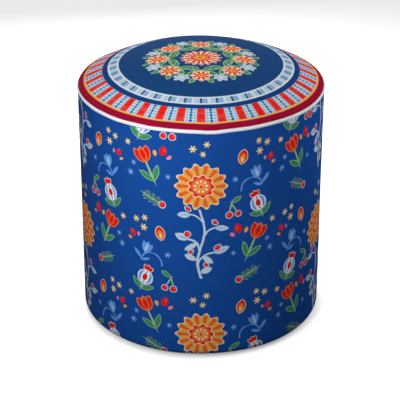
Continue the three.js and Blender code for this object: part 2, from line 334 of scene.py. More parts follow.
class Shader:
    """The nodes of a material or of the world, under construction."""

    def __init__(self, name: str, world: Optional[bpy.types.World] = None) -> None:
        """Starts with no nodes.

        Args:
            name: The name of the new material.
            world: The world whose nodes these are, where there is no material.
        """
        self.owner = world or bpy.data.materials.new(name)
        self.owner.use_nodes = True
        self.tree = self.owner.node_tree
        self.tree.nodes.clear()

    def node(
        self, kind: str, settings: Mapping[str, object], inputs: Mapping[Union[str, int], object]
    ) -> Node:
        """Adds one node.

        Args:
            kind: The node's type.
            settings: Its own settings, set before anything is linked.
            inputs: What goes into its sockets, by name or by number.

        Returns:
            The node.
        """
        made = self.tree.nodes.new(kind)
        for key, setting in settings.items():
            setattr(made, key, setting)
        for key, given in inputs.items():
            self.feed(made.inputs[key], given)
        return made

    def feed(self, socket: NodeSocket, given: object) -> None:
        """Links something to a socket, or sets the socket to a plain value.

        Args:
            socket: The socket.
            given: A value, spot, paint or socket to link, or a number, colour or vector.
        """
        if isinstance(given, (Value, Spot)):
            given = given.socket
        if isinstance(given, Paint):
            given = given.source
        if isinstance(given, NodeSocket):
            self.tree.links.new(given, socket)
        elif socket.type == "RGBA":
            socket.default_value = (*given, 1.0)
        else:
            socket.default_value = given

    def math(self, operation: str, *values: Number, clamp: bool = False) -> Value:
        """Adds one Math node."""
        settings = {"operation": operation, "use_clamp": clamp}
        return Value(self, self.node("ShaderNodeMath", settings, dict(enumerate(values))).outputs[0])

    def vector(self, operation: str, *values: object) -> Node:
        """Adds one Vector Math node."""
        return self.node("ShaderNodeVectorMath", {"operation": operation}, dict(enumerate(values)))

    def spot(self, x: Number, y: Number) -> Spot:
        """Joins two numbers into a point."""
        return Spot(self, self.node("ShaderNodeCombineXYZ", {}, {0: x, 1: y}).outputs[0])

    def part(self, vector: object, number: int) -> Value:
        """Gives one part of a vector, 0 for X, 1 for Y and 2 for Z."""
        return Value(self, self.node("ShaderNodeSeparateXYZ", {}, {0: vector}).outputs[number])

    def object_mm(self) -> Spot:
        """Gives the place on the object, in millimetres."""
        return self.in_mm(self.node("ShaderNodeTexCoord", {}, {}).outputs["Object"])

    def cloth_mm(self) -> Spot:
        """Gives the place on the piece's own flat cloth, in millimetres."""
        return self.in_mm(self.node("ShaderNodeUVMap", {"uv_map": CLOTH_MAP}, {}).outputs[0])

    def in_mm(self, source: NodeSocket) -> Spot:
        """Turns metres into millimetres."""
        return Spot(self, self.vector("MULTIPLY", source, (MM_PER_M,) * 3).outputs[0])

    def seen(self) -> Value:
        """Tells what is looked at from what lights the stool.

        Returns:
            1 for the camera's rays, and for what shines or is clear, and 0 for all others.
        """
        path = self.node("ShaderNodeLightPath", {}, {})
        kinds = ("Is Camera Ray", "Is Glossy Ray", "Is Transmission Ray")
        camera, glossy, clear = (Value(self, path.outputs[kind]) for kind in kinds)
        return camera.most(glossy).most(clear)

    def mottle(
        self,
        where: Spot,
        size: Union[float, tuple[float, float, float]],
        detail: float = 2.0,
        distortion: float = 0.0,
    ) -> Value:
        """Gives a soft random level.

        Args:
            where: The place on the surface.
            size: How large its patches are, in millimetres, alike or for each axis.
            detail: How many finer levels it has.
            distortion: How much the patches swirl.

        Returns:
            A level of about 0.5, from 0 to 1.
        """
        each = size if isinstance(size, tuple) else (size, size, size)
        scale = tuple(1.0 / part for part in each)
        moved = self.vector("MULTIPLY", where, scale).outputs[0]
        inputs = {"Vector": moved, "Scale": 1.0, "Detail": detail, "Distortion": distortion}
        made = self.node("ShaderNodeTexNoise", {}, inputs)
        return Value(self, made.outputs[0])

    def cells(self, where: Spot, size: float) -> Value:
        """Gives the distance to the nearest of many scattered points, as a share of their gap."""
        inputs = {"Vector": where, "Scale": 1.0 / size}
        return Value(self, self.node("ShaderNodeTexVoronoi", {}, inputs).outputs["Distance"])

    def wavered(self, where: Spot, patch_mm: float, reach_mm: float) -> Spot:
        """Gives a point that strays a little from its place, as a line drawn by hand does.

        Args:
            where: The place on the cloth.
            patch_mm: From one bend of a line to the next, roughly.
            reach_mm: How far apart the line's two farthest places are.

        Returns:
            The point that is drawn there.
        """
        inputs = {"Vector": where, "Scale": 1.0 / patch_mm}
        clouds = self.node("ShaderNodeTexNoise", {}, inputs).outputs["Color"]
        stray = self.vector("SUBTRACT", clouds, (0.5, 0.5, 0.5)).outputs[0]
        moved = self.vector("MULTIPLY_ADD", stray, (reach_mm, reach_mm, 0.0), where)
        return Spot(self, moved.outputs[0])

    def finish(
        self,
        colour: Union[Paint, Rgb],
        roughness: Number,
        height: Optional[Value] = None,
        relief: float = 0.0,
        **constants: object,
    ) -> None:
        """Closes the material.

        Args:
            colour: Its colour.
            roughness: Its roughness.
            height: The level of its fine relief.
            relief: How many metres the relief's 1 stands for.
            constants: The shader's other sockets, with underscores for spaces.
        """
        inputs: dict[str, object] = {"Base Color": colour, "Roughness": roughness}
        inputs.update({key.replace("_", " "): given for key, given in constants.items()})
        if height is not None:
            bump = {"Height": height, "Distance": relief, "Strength": 1.0}
            inputs["Normal"] = self.node("ShaderNodeBump", {}, bump).outputs[0]
        shader = self.node("ShaderNodeBsdfPrincipled", {}, inputs)
        self.node("ShaderNodeOutputMaterial", {}, {"Surface": shader.outputs[0]})


# Finishes


PUCKER = 16.0  # a pucker beside a seam, in heights of the weave's threads
CLOTH_SHEEN = {"Sheen_Weight": 0.01, "Sheen_Roughness": 0.5, "Specular_IOR_Level": 0.01}


def puckered(height: Value, drawn_in: Value, off_seam: Value, reach_mm: float) -> Value:
    """Adds the puckers beside a seam to the level of the threads.

    Args:
        height: The level of the threads.
        drawn_in: How deep the puckers are from place to place.
        off_seam: The distance from the seam, in millimetres.
        reach_mm: How far from the seam the puckers reach.

    Returns:
        The level of the cloth.
    """
    near = (1.0 - off_seam / reach_mm).math("MAXIMUM", 0.0)
    return height + near * near * drawn_in * PUCKER


class Finish:
    """How a surface looks."""

    def draw(self, shader: Shader) -> None:
        """Draws the finish. Each kind has its own way."""
        raise NotImplementedError

    def make(self, name: str) -> Material:
        """Builds the finish as a new material.

        Args:
            name: The material's name.

        Returns:
            The material.
        """
        shader = Shader(name)
        self.draw(shader)
        return shader.owner


@dataclass(frozen=True)
class Weave:
    """A plain weave, and what it does to a print."""

    thread_mm: float = 0.75  # from one thread to the next
    relief: float = 0.00016  # how far the threads stand up
    slub: float = 0.10  # how much single threads differ in tone
    turn: float = 0.0  # how far the threads are turned on the piece, in degrees

    def height(self, shader: Shader, where: Spot) -> Value:
        """Gives the level of the threads.

        Args:
            shader: The material.
            where: The place on the cloth.

        Returns:
            A level from about 0 to 1.
        """
        x, y = where.placed(0.0, 0.0, self.turn).split()
        pace = math.pi / self.thread_mm
        over = (x * pace).math("SINE") * (y * pace).math("SINE")
        rough = shader.mottle(where, self.thread_mm * 1.7, 2.0)
        return over * 0.35 + rough * 0.65

    def tone(self, shader: Shader, where: Spot) -> Value:
        """Gives the tone of the threads and of the cloth's faint unevenness.

        Args:
            shader: The material.
            where: The place on the cloth.

        Returns:
            A level about 1.
        """
        placed = where.placed(0.0, 0.0, self.turn)
        across = shader.mottle(placed, (26.0, self.thread_mm * 1.4, 8.0), 1.0)
        along = shader.mottle(placed, (self.thread_mm * 1.4, 26.0, 8.0), 1.0)
        cloudy = shader.mottle(where, 38.0, 3.0)
        return (across + along + cloudy * 0.7) * self.slub + (1.0 - 1.35 * self.slub)


@dataclass(frozen=True)
class SidePrint(Finish):
    """The printed cloth of the side: blooms, fruits and sprigs on deep blue.

    Each column of blooms stands half a repeat above the next, and so do the motifs that are
    strewn to the left and to the right of a bloom.
    """

    around_mm: float  # how far it is round the stool, from one side of the upright seam to the other
    top_mm: float  # how far up the cloth the piped seam is
    columns: int = 5  # columns of the print round the stool
    repeat_mm: float = 276.0
    start_mm: float = 24.0  # how far up the cloth the first repeat begins
    patch_mm: float = 14.0  # from one bend of a wavering outline to the next, roughly
    waver_mm: float = 2.2  # how far the printed outlines waver
    seam_mm: float = 0.9  # half the width of the painted shade line along the upright seam
    seam_shade: float = 0.6  # how much darker the painted shade makes the cloth there
    piped_mm: float = 40.0  # how far the puckers reach from the piped seam
    upright_mm: float = 22.0  # how far the puckers reach from the upright seam
    weave: Weave = Weave()

    def cell(self, shader: Shader, where: Spot) -> tuple[Spot, Spot]:
        """Gives the place within one repeat of the print.

        Args:
            shader: The material.
            where: The place on the cloth.

        Returns:
            The place from the middle of the repeat, and the same for the strewn motifs, which are
            mirrored to the left of each stem and half a repeat further down there.
        """
        u, v = shader.wavered(where, self.patch_mm, self.waver_mm).split()
        half = self.repeat_mm / 2.0
        wide = self.around_mm / self.columns
        column = (u / wide).math("ROUND")
        x = u - column * wide
        dropped = column.math("PINGPONG", 1.0) * half
        y = (v + dropped - self.start_mm).math("WRAP", half, -half)
        left = x.math("LESS_THAN", 0.0)
        strewn = (v + left * half - self.start_mm).math("WRAP", half, -half)
        return shader.spot(x, y), shader.spot(abs(x), strewn)

    def marigold(self, paint: Paint, at: Spot) -> None:
        """Prints the large orange bloom.

        Args:
            paint: The print so far.
            at: The place from the bloom's middle.
        """
        petals = at.bloom(14, 44.0, 0.17)
        spokes = (at.angle() * 14.0).math("COSINE")
        reach = at.length()
        stripe = (0.35 - spokes).most(abs(reach - 31.0) - 9.0)
        paint.stamp(petals, Ink.CREAM, 1.6).stamp(petals, Ink.YELLOW)
        paint.over(stripe.inside(edge=2.2), Ink.RED)
        heart = at.bloom(9, 22.5, 0.2)
        paint.stamp(heart, Ink.CREAM, 1.5).stamp(heart, Ink.RED)
        paint.over((reach - 15.5).inside(edge=6.0), Ink.ORANGE)
        seeds = (0.2 - (at.angle() * 9.0).math("SINE")).most(abs(reach - 10.0) - 2.2)
        paint.over(seeds.inside(edge=0.9), Ink.CREAM)
        paint.stamp(reach - 5.2, Ink.YELLOW).stamp(reach - 2.6, Ink.RED)

    def berry(self, paint: Paint, at: Spot, radius: float) -> None:
        """Prints one round red berry with a pale rim.

        Args:
            paint: The print so far.
            at: The place from the berry's middle.
            radius: The berry's radius.
        """
        outline = at.disc(radius)
        shine = at.placed(-radius * 0.3, radius * 0.3).disc(radius * 0.35)
        paint.stamp(outline, Ink.PALE_BLUE, 1.3).stamp(outline, Ink.RED)
        paint.over(shine.inside(edge=2.4), Ink.ROSE)

    def branches(self, paint: Paint, cell: Spot) -> None:
        """Prints the pale stem under the bloom, with its paired leaves and berries.

        Args:
            paint: The print so far.
            cell: The place within the repeat.
        """
        x, y = cell.split()
        waved = x + (y * 0.062).math("SINE") * 5.0
        stem = (abs(waved) + y * 0.005 - 1.5).most(abs(y + 47.0) - 55.0)
        left = waved.math("LESS_THAN", 0.0)
        fx, fy = abs(waved), y - left * 21.0
        fold = cell.shader.spot(fx, fy)
        low = fold.placed(24.0, -84.0).ring(24.0, 1.4).most(fx - 22.0).most(-84.0 - fy)
        high = fold.placed(17.0, -38.0).ring(17.0, 1.2).most(fx - 15.0).most(-38.0 - fy)
        paint.stamp(stem.least(low).least(high), Ink.PALE_BLUE)
        leaves = fold.placed(21.0, -60.5, -70.0).leaf(22.0, 10.5)
        leaves = leaves.least(fold.placed(7.0, -66.0, -128.0).leaf(19.0, 8.5))
        leaves = leaves.least(fold.placed(14.5, -21.0, -96.0).leaf(20.0, 9.0))
        leaves = leaves.least(fold.placed(1.5, -93.0, -66.0).leaf(20.0, 8.5))
        paint.stamp(leaves, Ink.PALE_BLUE)
        veins = fold.placed(21.0, -60.5, -70.0).leaf(18.0, 2.0)
        veins = veins.least(fold.placed(14.5, -21.0, -96.0).leaf(16.0, 1.7))
        paint.stamp(veins, Ink.MID_BLUE)
        self.berry(paint, fold.placed(24.0, -52.5), 4.2)
        self.berry(paint, fold.placed(16.0, -12.5), 3.6)
        self.berry(paint, fold.placed(12.0, -80.0), 3.2)

    def tulip(self, paint: Paint, at: Spot) -> None:
        """Prints a red tulip on a stem with two green leaves.

        Args:
            paint: The print so far.
            at: The place from the foot of the stem.
        """
        fold = at.folded()
        stalk = at.leaf(46.0, 2.6)
        blades = fold.placed(0.4, 6.0, -36.0).leaf(25.0, 8.0)
        paint.stamp(stalk, Ink.LIME, 0.3)
        paint.stamp(blades, Ink.LIME, 0.7).stamp(blades, Ink.GREEN, -0.2)
        cup = fold.placed(0.6, 36.0, -24.0).leaf(25.0, 12.0)
        middle = at.placed(0.0, 36.0).leaf(24.0, 12.0)
        paint.stamp(cup.least(middle), Ink.ORANGE, 0.8)
        paint.stamp(cup, Ink.RED, -0.6)
        paint.stamp(middle, Ink.ORANGE, -0.2)
        paint.over(middle.inside(-1.6, 3.0), Ink.RED)

    def bluebell(self, paint: Paint, at: Spot) -> None:
        """Prints a light blue flower on a bent stem.

        Args:
            paint: The print so far.
            at: The place from the foot of the stem.
        """
        stalk = at.placed(-17.0, 0.0).ring(17.0, 1.2)
        y = at.split()[1]
        stalk = stalk.most(-y).most(y - 17.0)
        cup = at.placed(-4.0, 14.0, 12.0)
        petals = cup.folded().placed(0.4, 0.0, -22.0).leaf(19.0, 8.0).least(cup.leaf(20.0, 8.0))
        blades = at.placed(0.0, 2.0, -48.0).leaf(19.0, 5.5)
        blades = blades.least(at.placed(0.0, -1.0, 62.0).leaf(16.0, 5.0))
        paint.stamp(stalk.least(blades), Ink.SKY)
        paint.stamp(petals, Ink.SKY)
        paint.over(cup.leaf(15.0, 3.6).inside(edge=2.0), Ink.PALE_BLUE)

    def seed_head(self, paint: Paint, at: Spot) -> None:
        """Prints a round seed head in blue and white stripes, on a stalk with two leaves.

        Args:
            paint: The print so far.
            at: The place from the seed head's middle.
        """
        fold = at.folded()
        blades = fold.placed(0.0, -24.0, -58.0).leaf(24.0, 8.0)
        paint.stamp(at.placed(0.0, -28.0).leaf(24.0, 2.8), Ink.LIME, 0.3)
        paint.stamp(blades, Ink.LIME, 0.7).stamp(blades, Ink.GREEN, -0.2)
        crown = fold.placed(0.5, 12.0, -34.0).leaf(13.0, 6.5)
        crown = crown.least(at.placed(0.0, 12.0).leaf(13.0, 6.5))
        paint.stamp(crown, Ink.CREAM, 0.9).stamp(crown, Ink.RED)
        x, y = at.split()
        body = at.disc(14.0)
        bulge = (14.6**2 - y * y).math("MAXIMUM", 1.0).math("SQRT")
        stripes = 0.1 - (x / bulge * 9.4).math("COSINE")
        paint.stamp(body, Ink.WHITE, 0.6)
        paint.over((body + 1.2).most(stripes).inside(edge=0.8), Ink.SKY)
        window = at.placed(0.0, -7.5).leaf(15.0, 9.0)
        paint.stamp(window, Ink.WHITE, 1.1).stamp(window, Ink.RED)

    def sprig(self, paint: Paint, at: Spot) -> None:
        """Prints a dark green sprig with one red fruit at its foot.

        Args:
            paint: The print so far.
            at: The place from the foot of the sprig.
        """
        x, y = at.split()
        step = (y - 4.0).math("WRAP", 4.2, -4.2)
        pair = at.shader.spot(abs(x), step).placed(0.0, -3.6, -46.0).leaf(11.5, 4.0)
        pair = pair.most(abs(y - 15.0) - 13.0)
        stalk = at.leaf(34.0, 1.8)
        paint.stamp(pair.least(stalk), Ink.LIME, 0.2)
        paint.stamp(pair, Ink.DARK_GREEN, -0.4)
        self.berry(paint, at.placed(0.0, -4.0), 4.8)

    def pod(self, paint: Paint, at: Spot) -> None:
        """Prints an orange seed pod with a red skin.

        Args:
            paint: The print so far.
            at: The place from the pod's foot.
        """
        outline = at.leaf(25.0, 15.5)
        inner = at.placed(0.0, 2.0).leaf(15.0, 8.0)
        paint.stamp(outline, Ink.CREAM, 1.0).stamp(outline, Ink.RED)
        paint.over(inner.inside(1.2, 3.0), Ink.ORANGE)
        paint.stamp(at.placed(0.0, 3.0).leaf(9.0, 4.4), Ink.STRAW)

    def bud(self, paint: Paint, at: Spot) -> None:
        """Prints a small red bud between a pink and a yellow one.

        Args:
            paint: The print so far.
            at: The place from the buds' middle.
        """
        fold = at.placed(0.0, -9.0)
        paint.stamp(at.placed(0.0, -7.5).leaf(16.0, 11.5), Ink.RED)
        paint.stamp(fold.placed(-8.5, -1.0, 35.0).leaf(9.0, 5.6), Ink.PINK)
        paint.stamp(fold.placed(8.5, -2.0, -35.0).leaf(10.0, 6.0), Ink.YELLOW)
        paint.over(at.placed(-1.4, -1.0).leaf(7.0, 2.6).inside(edge=2.0), Ink.ROSE)

    def cherries(self, paint: Paint, at: Spot) -> None:
        """Prints two red fruits on green stalks, with a leaf.

        Args:
            paint: The print so far.
            at: The place from the fruits' middle.
        """
        stalks = at.placed(-7.0, -8.0, -20.0).leaf(23.0, 2.0)
        stalks = stalks.least(at.placed(7.0, -9.0, 22.0).leaf(24.0, 2.0))
        blade = at.placed(1.0, 11.0, -68.0).leaf(18.0, 7.5)
        paint.stamp(stalks, Ink.LIME, 0.2)
        paint.stamp(blade, Ink.LIME, 0.6).stamp(blade, Ink.GREEN, -0.3)
        self.berry(paint, at.placed(-7.5, -10.0), 5.4)
        self.berry(paint, at.placed(7.5, -11.5), 5.0)

    def florets(self, paint: Paint, cell: Spot, fold: Spot) -> None:
        """Prints the small flowers of six narrow petals.

        Args:
            paint: The print so far.
            cell: The place within the repeat.
            fold: The place among the strewn motifs.
        """
        straw, sky = (Ink.STRAW, Ink.CREAM), (Ink.SKY, Ink.PALE_BLUE)
        for at, x, y, radius, (petals, eye) in (
            (fold, 98.0, 106.0, 6.8, straw),
            (fold, 112.0, 119.0, 6.2, straw),
            (fold, 96.0, 124.0, 5.8, straw),
            (fold, 125.0, -22.0, 5.6, straw),
            (fold, 121.0, -74.0, 6.4, sky),
            (fold, 115.0, -56.0, 5.2, sky),
            (fold, 56.0, 62.0, 5.6, sky),
            (fold, 54.0, -72.0, 5.0, sky),
            (cell, -13.0, 118.0, 6.6, straw),
            (cell, 9.0, 126.0, 6.0, straw),
            (cell, 3.0, 109.0, 5.4, straw),
        ):
            flower = at.placed(x, y)
            paint.stamp(flower.bloom(6, radius, 0.66), petals)
            paint.stamp(flower.disc(radius * 0.2), eye)

    def draw(self, shader: Shader) -> None:
        """Draws the printed cloth.

        Args:
            shader: The material's nodes.
        """
        where = shader.cloth_mm()
        cell, fold = self.cell(shader, where)
        paint = Paint(shader, Ink.GROUND)
        self.branches(paint, cell.placed(0.0, 2.0, 0.0, 1.16, 1.16))
        self.marigold(paint, cell.placed(0.0, 52.0, 0.0, 0.97, 0.92))
        for motif, x, y, turn, size in (
            (self.tulip, 75.0, -88.0, -24.0, 1.14),
            (self.seed_head, 97.0, 13.0, 20.0, 1.0),
            (self.bluebell, 104.0, 46.0, 10.0, 1.12),
            (self.sprig, 68.0, -121.0, -64.0, 1.1),
            (self.pod, 66.0, 88.0, -12.0, 1.0),
            (self.bud, 62.0, -28.0, 14.0, 1.1),
            (self.bud, 119.0, 92.0, -30.0, 0.85),
            (self.cherries, 52.0, 10.0, 10.0, 1.0),
        ):
            motif(paint, fold.placed(x, y, turn, size, size))
        self.florets(paint, cell, fold)
        along, up = where.split()
        off_seam = self.around_mm / 2.0 - abs(along)
        # the cloth is painted darker along the upright seam: painted shade where the seam's groove lies
        sunk = 1.0 - (off_seam - self.seam_mm).inside(edge=1.4) * self.seam_shade
        brushed = shader.mottle(where, 5.0, 2.0) * 0.22 + 0.89
        paint.toned(brushed * sunk * self.weave.tone(shader, where))
        rough = shader.mottle(where, 22.0) * 0.08 + 0.80
        height = self.weave.height(shader, where)
        upright = shader.mottle(shader.spot(along, up * 0.15), 13.0, 2.0)
        height = puckered(height, upright, self.top_mm - up, self.piped_mm)
        level = shader.mottle(shader.spot(along * 0.15, up), 11.0, 2.0)
        height = puckered(height, level, off_seam, self.upright_mm)
        shader.finish(paint, rough, height, self.weave.relief, **CLOTH_SHEEN)


@dataclass(frozen=True)
class SeatPrint(Finish):
    """The printed cloth of the seat: a garland in a blue field, and striped rings round it."""

    radius_mm: float  # the radius of the stool's side, which the rings are shares of
    field_share: float = 0.665  # how far the blue field reaches
    ticks_share: float = 0.755  # how far the pale ticked ring reaches
    plain_share: float = 0.800  # how far the plain blue ring reaches
    bars_share: float = 0.936  # how far the barred ring reaches
    line_share: float = 0.951  # how far the yellow line reaches
    pulled_mm: float = 25.0  # how far the cloth's middle is pulled to the front
    puckered_mm: float = 34.0  # how far the puckers reach from the piped seam
    ticks: int = 38  # ticks round the ring
    bars: int = 36  # red bars round the ring
    blooms: int = 8  # red blooms in the garland
    weave: Weave = Weave()

    def ticked_ring(self, paint: Paint, reach: Value, around: Value) -> None:
        """Prints the pale ring with its squares and ticks.

        Args:
            paint: The print so far.
            reach: The distance from the seat's middle.
            around: The direction from the seat's middle, as a share of a turn.
        """
        inner, outer = self.field_share * self.radius_mm, self.ticks_share * self.radius_mm
        middle, half = (inner + outer) / 2.0, (outer - inner) / 2.0
        band = abs(reach - middle)
        paint.stamp(band - half, Ink.MIST)
        pace = FULL_TURN * middle / self.ticks
        along = ((around * float(self.ticks)).math("FRACT") - 0.5) * pace
        core = band - (half - 3.7)
        paint.over((abs(along - 6.2) - 4.1).most(core).inside(edge=1.1), Ink.MID_BLUE)
        paint.over((abs(along + 6.2) - 4.0).most(core).inside(edge=1.1), Ink.SAGE)
        paint.over((abs(along) - 1.9).most(core - 0.4).inside(edge=0.9), Ink.DEEP_BLUE)

    def barred_ring(self, paint: Paint, reach: Value, around: Value) -> None:
        """Prints the ring of red bars, with dashes and diamonds between them.

        Args:
            paint: The print so far.
            reach: The distance from the seat's middle.
            around: The direction from the seat's middle, as a share of a turn.
        """
        inner, outer = self.plain_share * self.radius_mm, self.bars_share * self.radius_mm
        middle, half = (inner + outer) / 2.0, (outer - inner) / 2.0
        band = abs(reach - middle) - half
        paint.stamp(band, Ink.PALE_BLUE)
        turn = around * float(self.bars)
        along = abs(turn.math("FRACT") - 0.5) * (FULL_TURN * middle / self.bars)
        step = (outer - inner) / 5.0
        place = (reach - inner) / step
        row = abs(place.math("FRACT") - 0.5) * step
        dash = (abs(along - 6.0) - 1.25).most(row - step * 0.28).most(band)
        paint.over(dash.inside(edge=0.9), Ink.DASH_BLUE)
        paint.over((abs(along - 8.3) - 0.8).most(band).inside(edge=0.8), Ink.MINT)
        diamond = (along * 1.1 + row - 3.4).most(band)
        other = place.math("FLOOR").math("PINGPONG", 1.0)
        paint.over(diamond.inside(edge=0.7), Ink.DIAMOND_BLUE)
        paint.over(diamond.inside(edge=0.7) * other, Ink.GREEN)
        brushed = paint.shader.mottle(paint.shader.spot(turn.math("ROUND") * 40.0, reach), 11.0)
        brushed = brushed.ramp(0.44, 3.0)
        red = Paint(paint.shader, Ink.RED).over(brushed * 0.7, Ink.ROSE)
        red.over((along - 11.0).inside(edge=2.4) * 0.75, Ink.ROSE)
        paint.over((9.1 - along).most(band).inside(edge=0.8), red)

    def rosette(self, paint: Paint, at: Spot, petals: int, radius: float) -> None:
        """Prints a round red flower with striped petals and a yellow eye.

        Args:
            paint: The print so far.
            at: The place from the flower's middle.
            petals: How many petals it has.
            radius: From its middle to the petals' tips.
        """
        outline = at.bloom(petals, radius, 0.2)
        reach = at.length()
        spokes = (at.angle() * float(petals)).math("COSINE")
        stripes = (0.25 - spokes).most(abs(reach - radius * 0.68) - radius * 0.2)
        paint.stamp(outline, Ink.CREAM, 1.5).stamp(outline, Ink.RED)
        paint.over(stripes.inside(edge=1.1), Ink.CREAM)
        paint.over((reach - radius * 0.4).inside(edge=3.0), Ink.ORANGE)
        paint.stamp(reach - radius * 0.24, Ink.YELLOW).stamp(reach - radius * 0.1, Ink.RED)

    def garland(self, paint: Paint, at: Spot) -> None:
        """Prints the round garland in the middle: blooms and pale flowers on a leafy ring.

        Args:
            paint: The print so far.
            at: The place from the middle of the garland.
        """
        part = FULL_TURN / self.blooms
        reach = at.length()
        turned = at.angle() / part
        aside = (turned - turned.math("ROUND")) * part
        fold = at.shader.spot(abs(aside).math("SINE") * reach, aside.math("COSINE") * reach)
        leaves = abs(reach - 51.0) - 1.4
        for x, y, turn, long, wide in (
            (7.0, 54.0, -52.0, 24.0, 10.0),
            (4.0, 51.0, -142.0, 18.0, 8.0),
            (9.0, 76.0, -34.0, 17.0, 8.0),
        ):
            leaves = leaves.least(fold.placed(x, y, turn).leaf(long, wide))
        paint.stamp(leaves, Ink.LIME, 0.7).stamp(leaves, Ink.GREEN, -0.9)
        half = math.degrees(part) / 2.0
        between = fold.placed(math.sin(part / 2.0) * 79.0, math.cos(part / 2.0) * 79.0, -half)
        flower = between.bloom(6, 12.5, 0.34)
        paint.stamp(flower, Ink.MIST, 0.2).stamp(flower, Ink.SAGE, -1.6)
        paint.stamp(between.disc(2.6), Ink.CREAM)
        self.rosette(paint, fold.placed(0.0, 68.0), 8, 16.5)
        self.rosette(paint, at, 16, 32.0)

    def draw(self, shader: Shader) -> None:
        """Draws the printed cloth.

        Args:
            shader: The material's nodes.
        """
        where = shader.object_mm()
        x, y = where.split()
        flat = shader.spot(x, y)
        around = flat.angle() / FULL_TURN + 0.5
        straight = flat.length()
        ahead = (y / straight).math("MULTIPLY", -1.0, clamp=True)
        rim = 1.0 - straight / self.radius_mm
        reach = straight - ahead * ahead * rim * self.pulled_mm
        paint = Paint(shader, Ink.FIELD)
        drawn = shader.wavered(flat, 42.0, 9.0)
        self.garland(paint, drawn.placed(0.0, -19.0, 0.0, 1.08, 1.0))
        self.ticked_ring(paint, reach, around)
        plain = abs(reach - (self.ticks_share + self.plain_share) / 2.0 * self.radius_mm)
        half = (self.plain_share - self.ticks_share) / 2.0 * self.radius_mm
        paint.stamp(plain - half, Ink.RING_BLUE)
        self.barred_ring(paint, reach, around)
        paint.stamp(self.bars_share * self.radius_mm - reach, Ink.YELLOW)
        paint.stamp(self.line_share * self.radius_mm - reach, Ink.WINE)
        brushed = shader.mottle(flat, 5.0, 2.0) * 0.16 + 0.92
        paint.toned(brushed * self.weave.tone(shader, flat))
        rough = shader.mottle(flat, 22.0) * 0.08 + 0.80
        turn = Spot(shader, flat.vector("NORMALIZE").outputs[0])
        drawn_in = shader.mottle(turn, 15.0 / self.radius_mm, 2.0)
        height = self.weave.height(shader, flat)
        height = puckered(height, drawn_in, self.radius_mm - straight, self.puckered_mm)
        shader.finish(paint, rough, height, self.weave.relief, **CLOTH_SHEEN)


@dataclass(frozen=True)
class PlainCloth(Finish):
    """A cloth of one colour with its weave."""

    colour: Rgb
    weave: Weave
    roughness: float = 0.85

    def draw(self, shader: Shader) -> None:
        """Draws the cloth.

        Args:
            shader: The material's nodes.
        """
        where = shader.cloth_mm()
        crease_relief_and_shade = shader.mottle(where, (5.0, 16.0, 9.0), 2.0, 0.4)
        paint = Paint(shader, self.colour).toned(self.weave.tone(shader, where))
        # darker in the creases' hollows and lighter on their ridges: painted shade, on top of the
        # creases' relief
        paint.toned(crease_relief_and_shade * 0.12 + 0.94)
        height = self.weave.height(shader, where) * 0.5 + crease_relief_and_shade
        rough = shader.mottle(where, 12.0) * 0.08 + (self.roughness - 0.04)
        shader.finish(paint, rough, height, self.weave.relief * 1.6, **CLOTH_SHEEN)


@dataclass(frozen=True)
class SpunLining(Finish):
    """Black spun-bonded lining with its pressed dots."""

    colour: Rgb = srgb(25, 25, 27)
    dot_mm: float = 1.5  # from one pressed dot to the next

    def draw(self, shader: Shader) -> None:
        """Draws the lining.

        Args:
            shader: The material's nodes.
        """
        where = shader.object_mm()
        x, y = where.placed(0.0, 0.0, 45.0).split()
        pace = FULL_TURN / self.dot_mm
        dots = (x * pace).math("SINE") * (y * pace).math("SINE")
        pressed = dots.ramp(0.3, 4.0)
        fibres = shader.mottle(where, (0.6, 5.0, 5.0), 3.0, 2.5)
        crossing = shader.mottle(where, (5.0, 0.6, 5.0), 3.0, 2.5)
        level = fibres + crossing
        paint = Paint(shader, self.colour).toned(level * 0.9 + 0.35)
        height = level * 0.5 - pressed * 0.6
        shader.finish(paint, pressed * -0.25 + 0.8, height, 0.00012, Specular_IOR_Level=0.4)


@dataclass(frozen=True)
class Plywood(Finish):
    """Birch plywood: a figured face, and edges that show the plies."""

    face: Rgb = srgb(214, 180, 134)  # the colour of the face
    dark: Rgb = srgb(176, 132, 84)  # the colour of the face's grain
    edge: Rgb = srgb(140, 96, 58)  # the colour of the end-grain plies
    ply_mm: float = 1.4  # the thickness of one ply

    def draw(self, shader: Shader) -> None:
        """Draws the plywood.

        Args:
            shader: The material's nodes.
        """
        where = shader.object_mm()
        z = shader.part(where, 2)
        figure = shader.mottle(where, (150.0, 26.0, 60.0), 3.0, 1.4)
        grain = (figure * 42.0).math("SINE") * 0.5 + 0.5
        pores = shader.mottle(where, (14.0, 0.7, 4.0), 3.0)
        level = (grain * 0.45 + pores * 0.55 - 0.25).math("ADD", 0.0, clamp=True)
        paint = Paint(shader, self.face).over(level, self.dark)
        ply = (z / (2.0 * self.ply_mm)).math("FRACT")
        crosswise = (abs(ply - 0.5) * -1.0 + 0.25) * (2.0 * self.ply_mm)
        fibres = shader.mottle(where, (0.9, 0.9, 3.0), 3.0)
        plies = Paint(shader, self.face).over((-crosswise).inside(edge=0.25), self.edge)
        plies.toned(fibres * 0.5 + 0.75)
        geometry = shader.node("ShaderNodeNewGeometry", {}, {}).outputs["Normal"]
        on_edge = abs(shader.part(geometry, 2)).ramp(0.7, -20.0)
        paint.over(on_edge, plies)
        shader.finish(paint, pores * 0.2 + 0.55, pores + fibres, 0.0001)


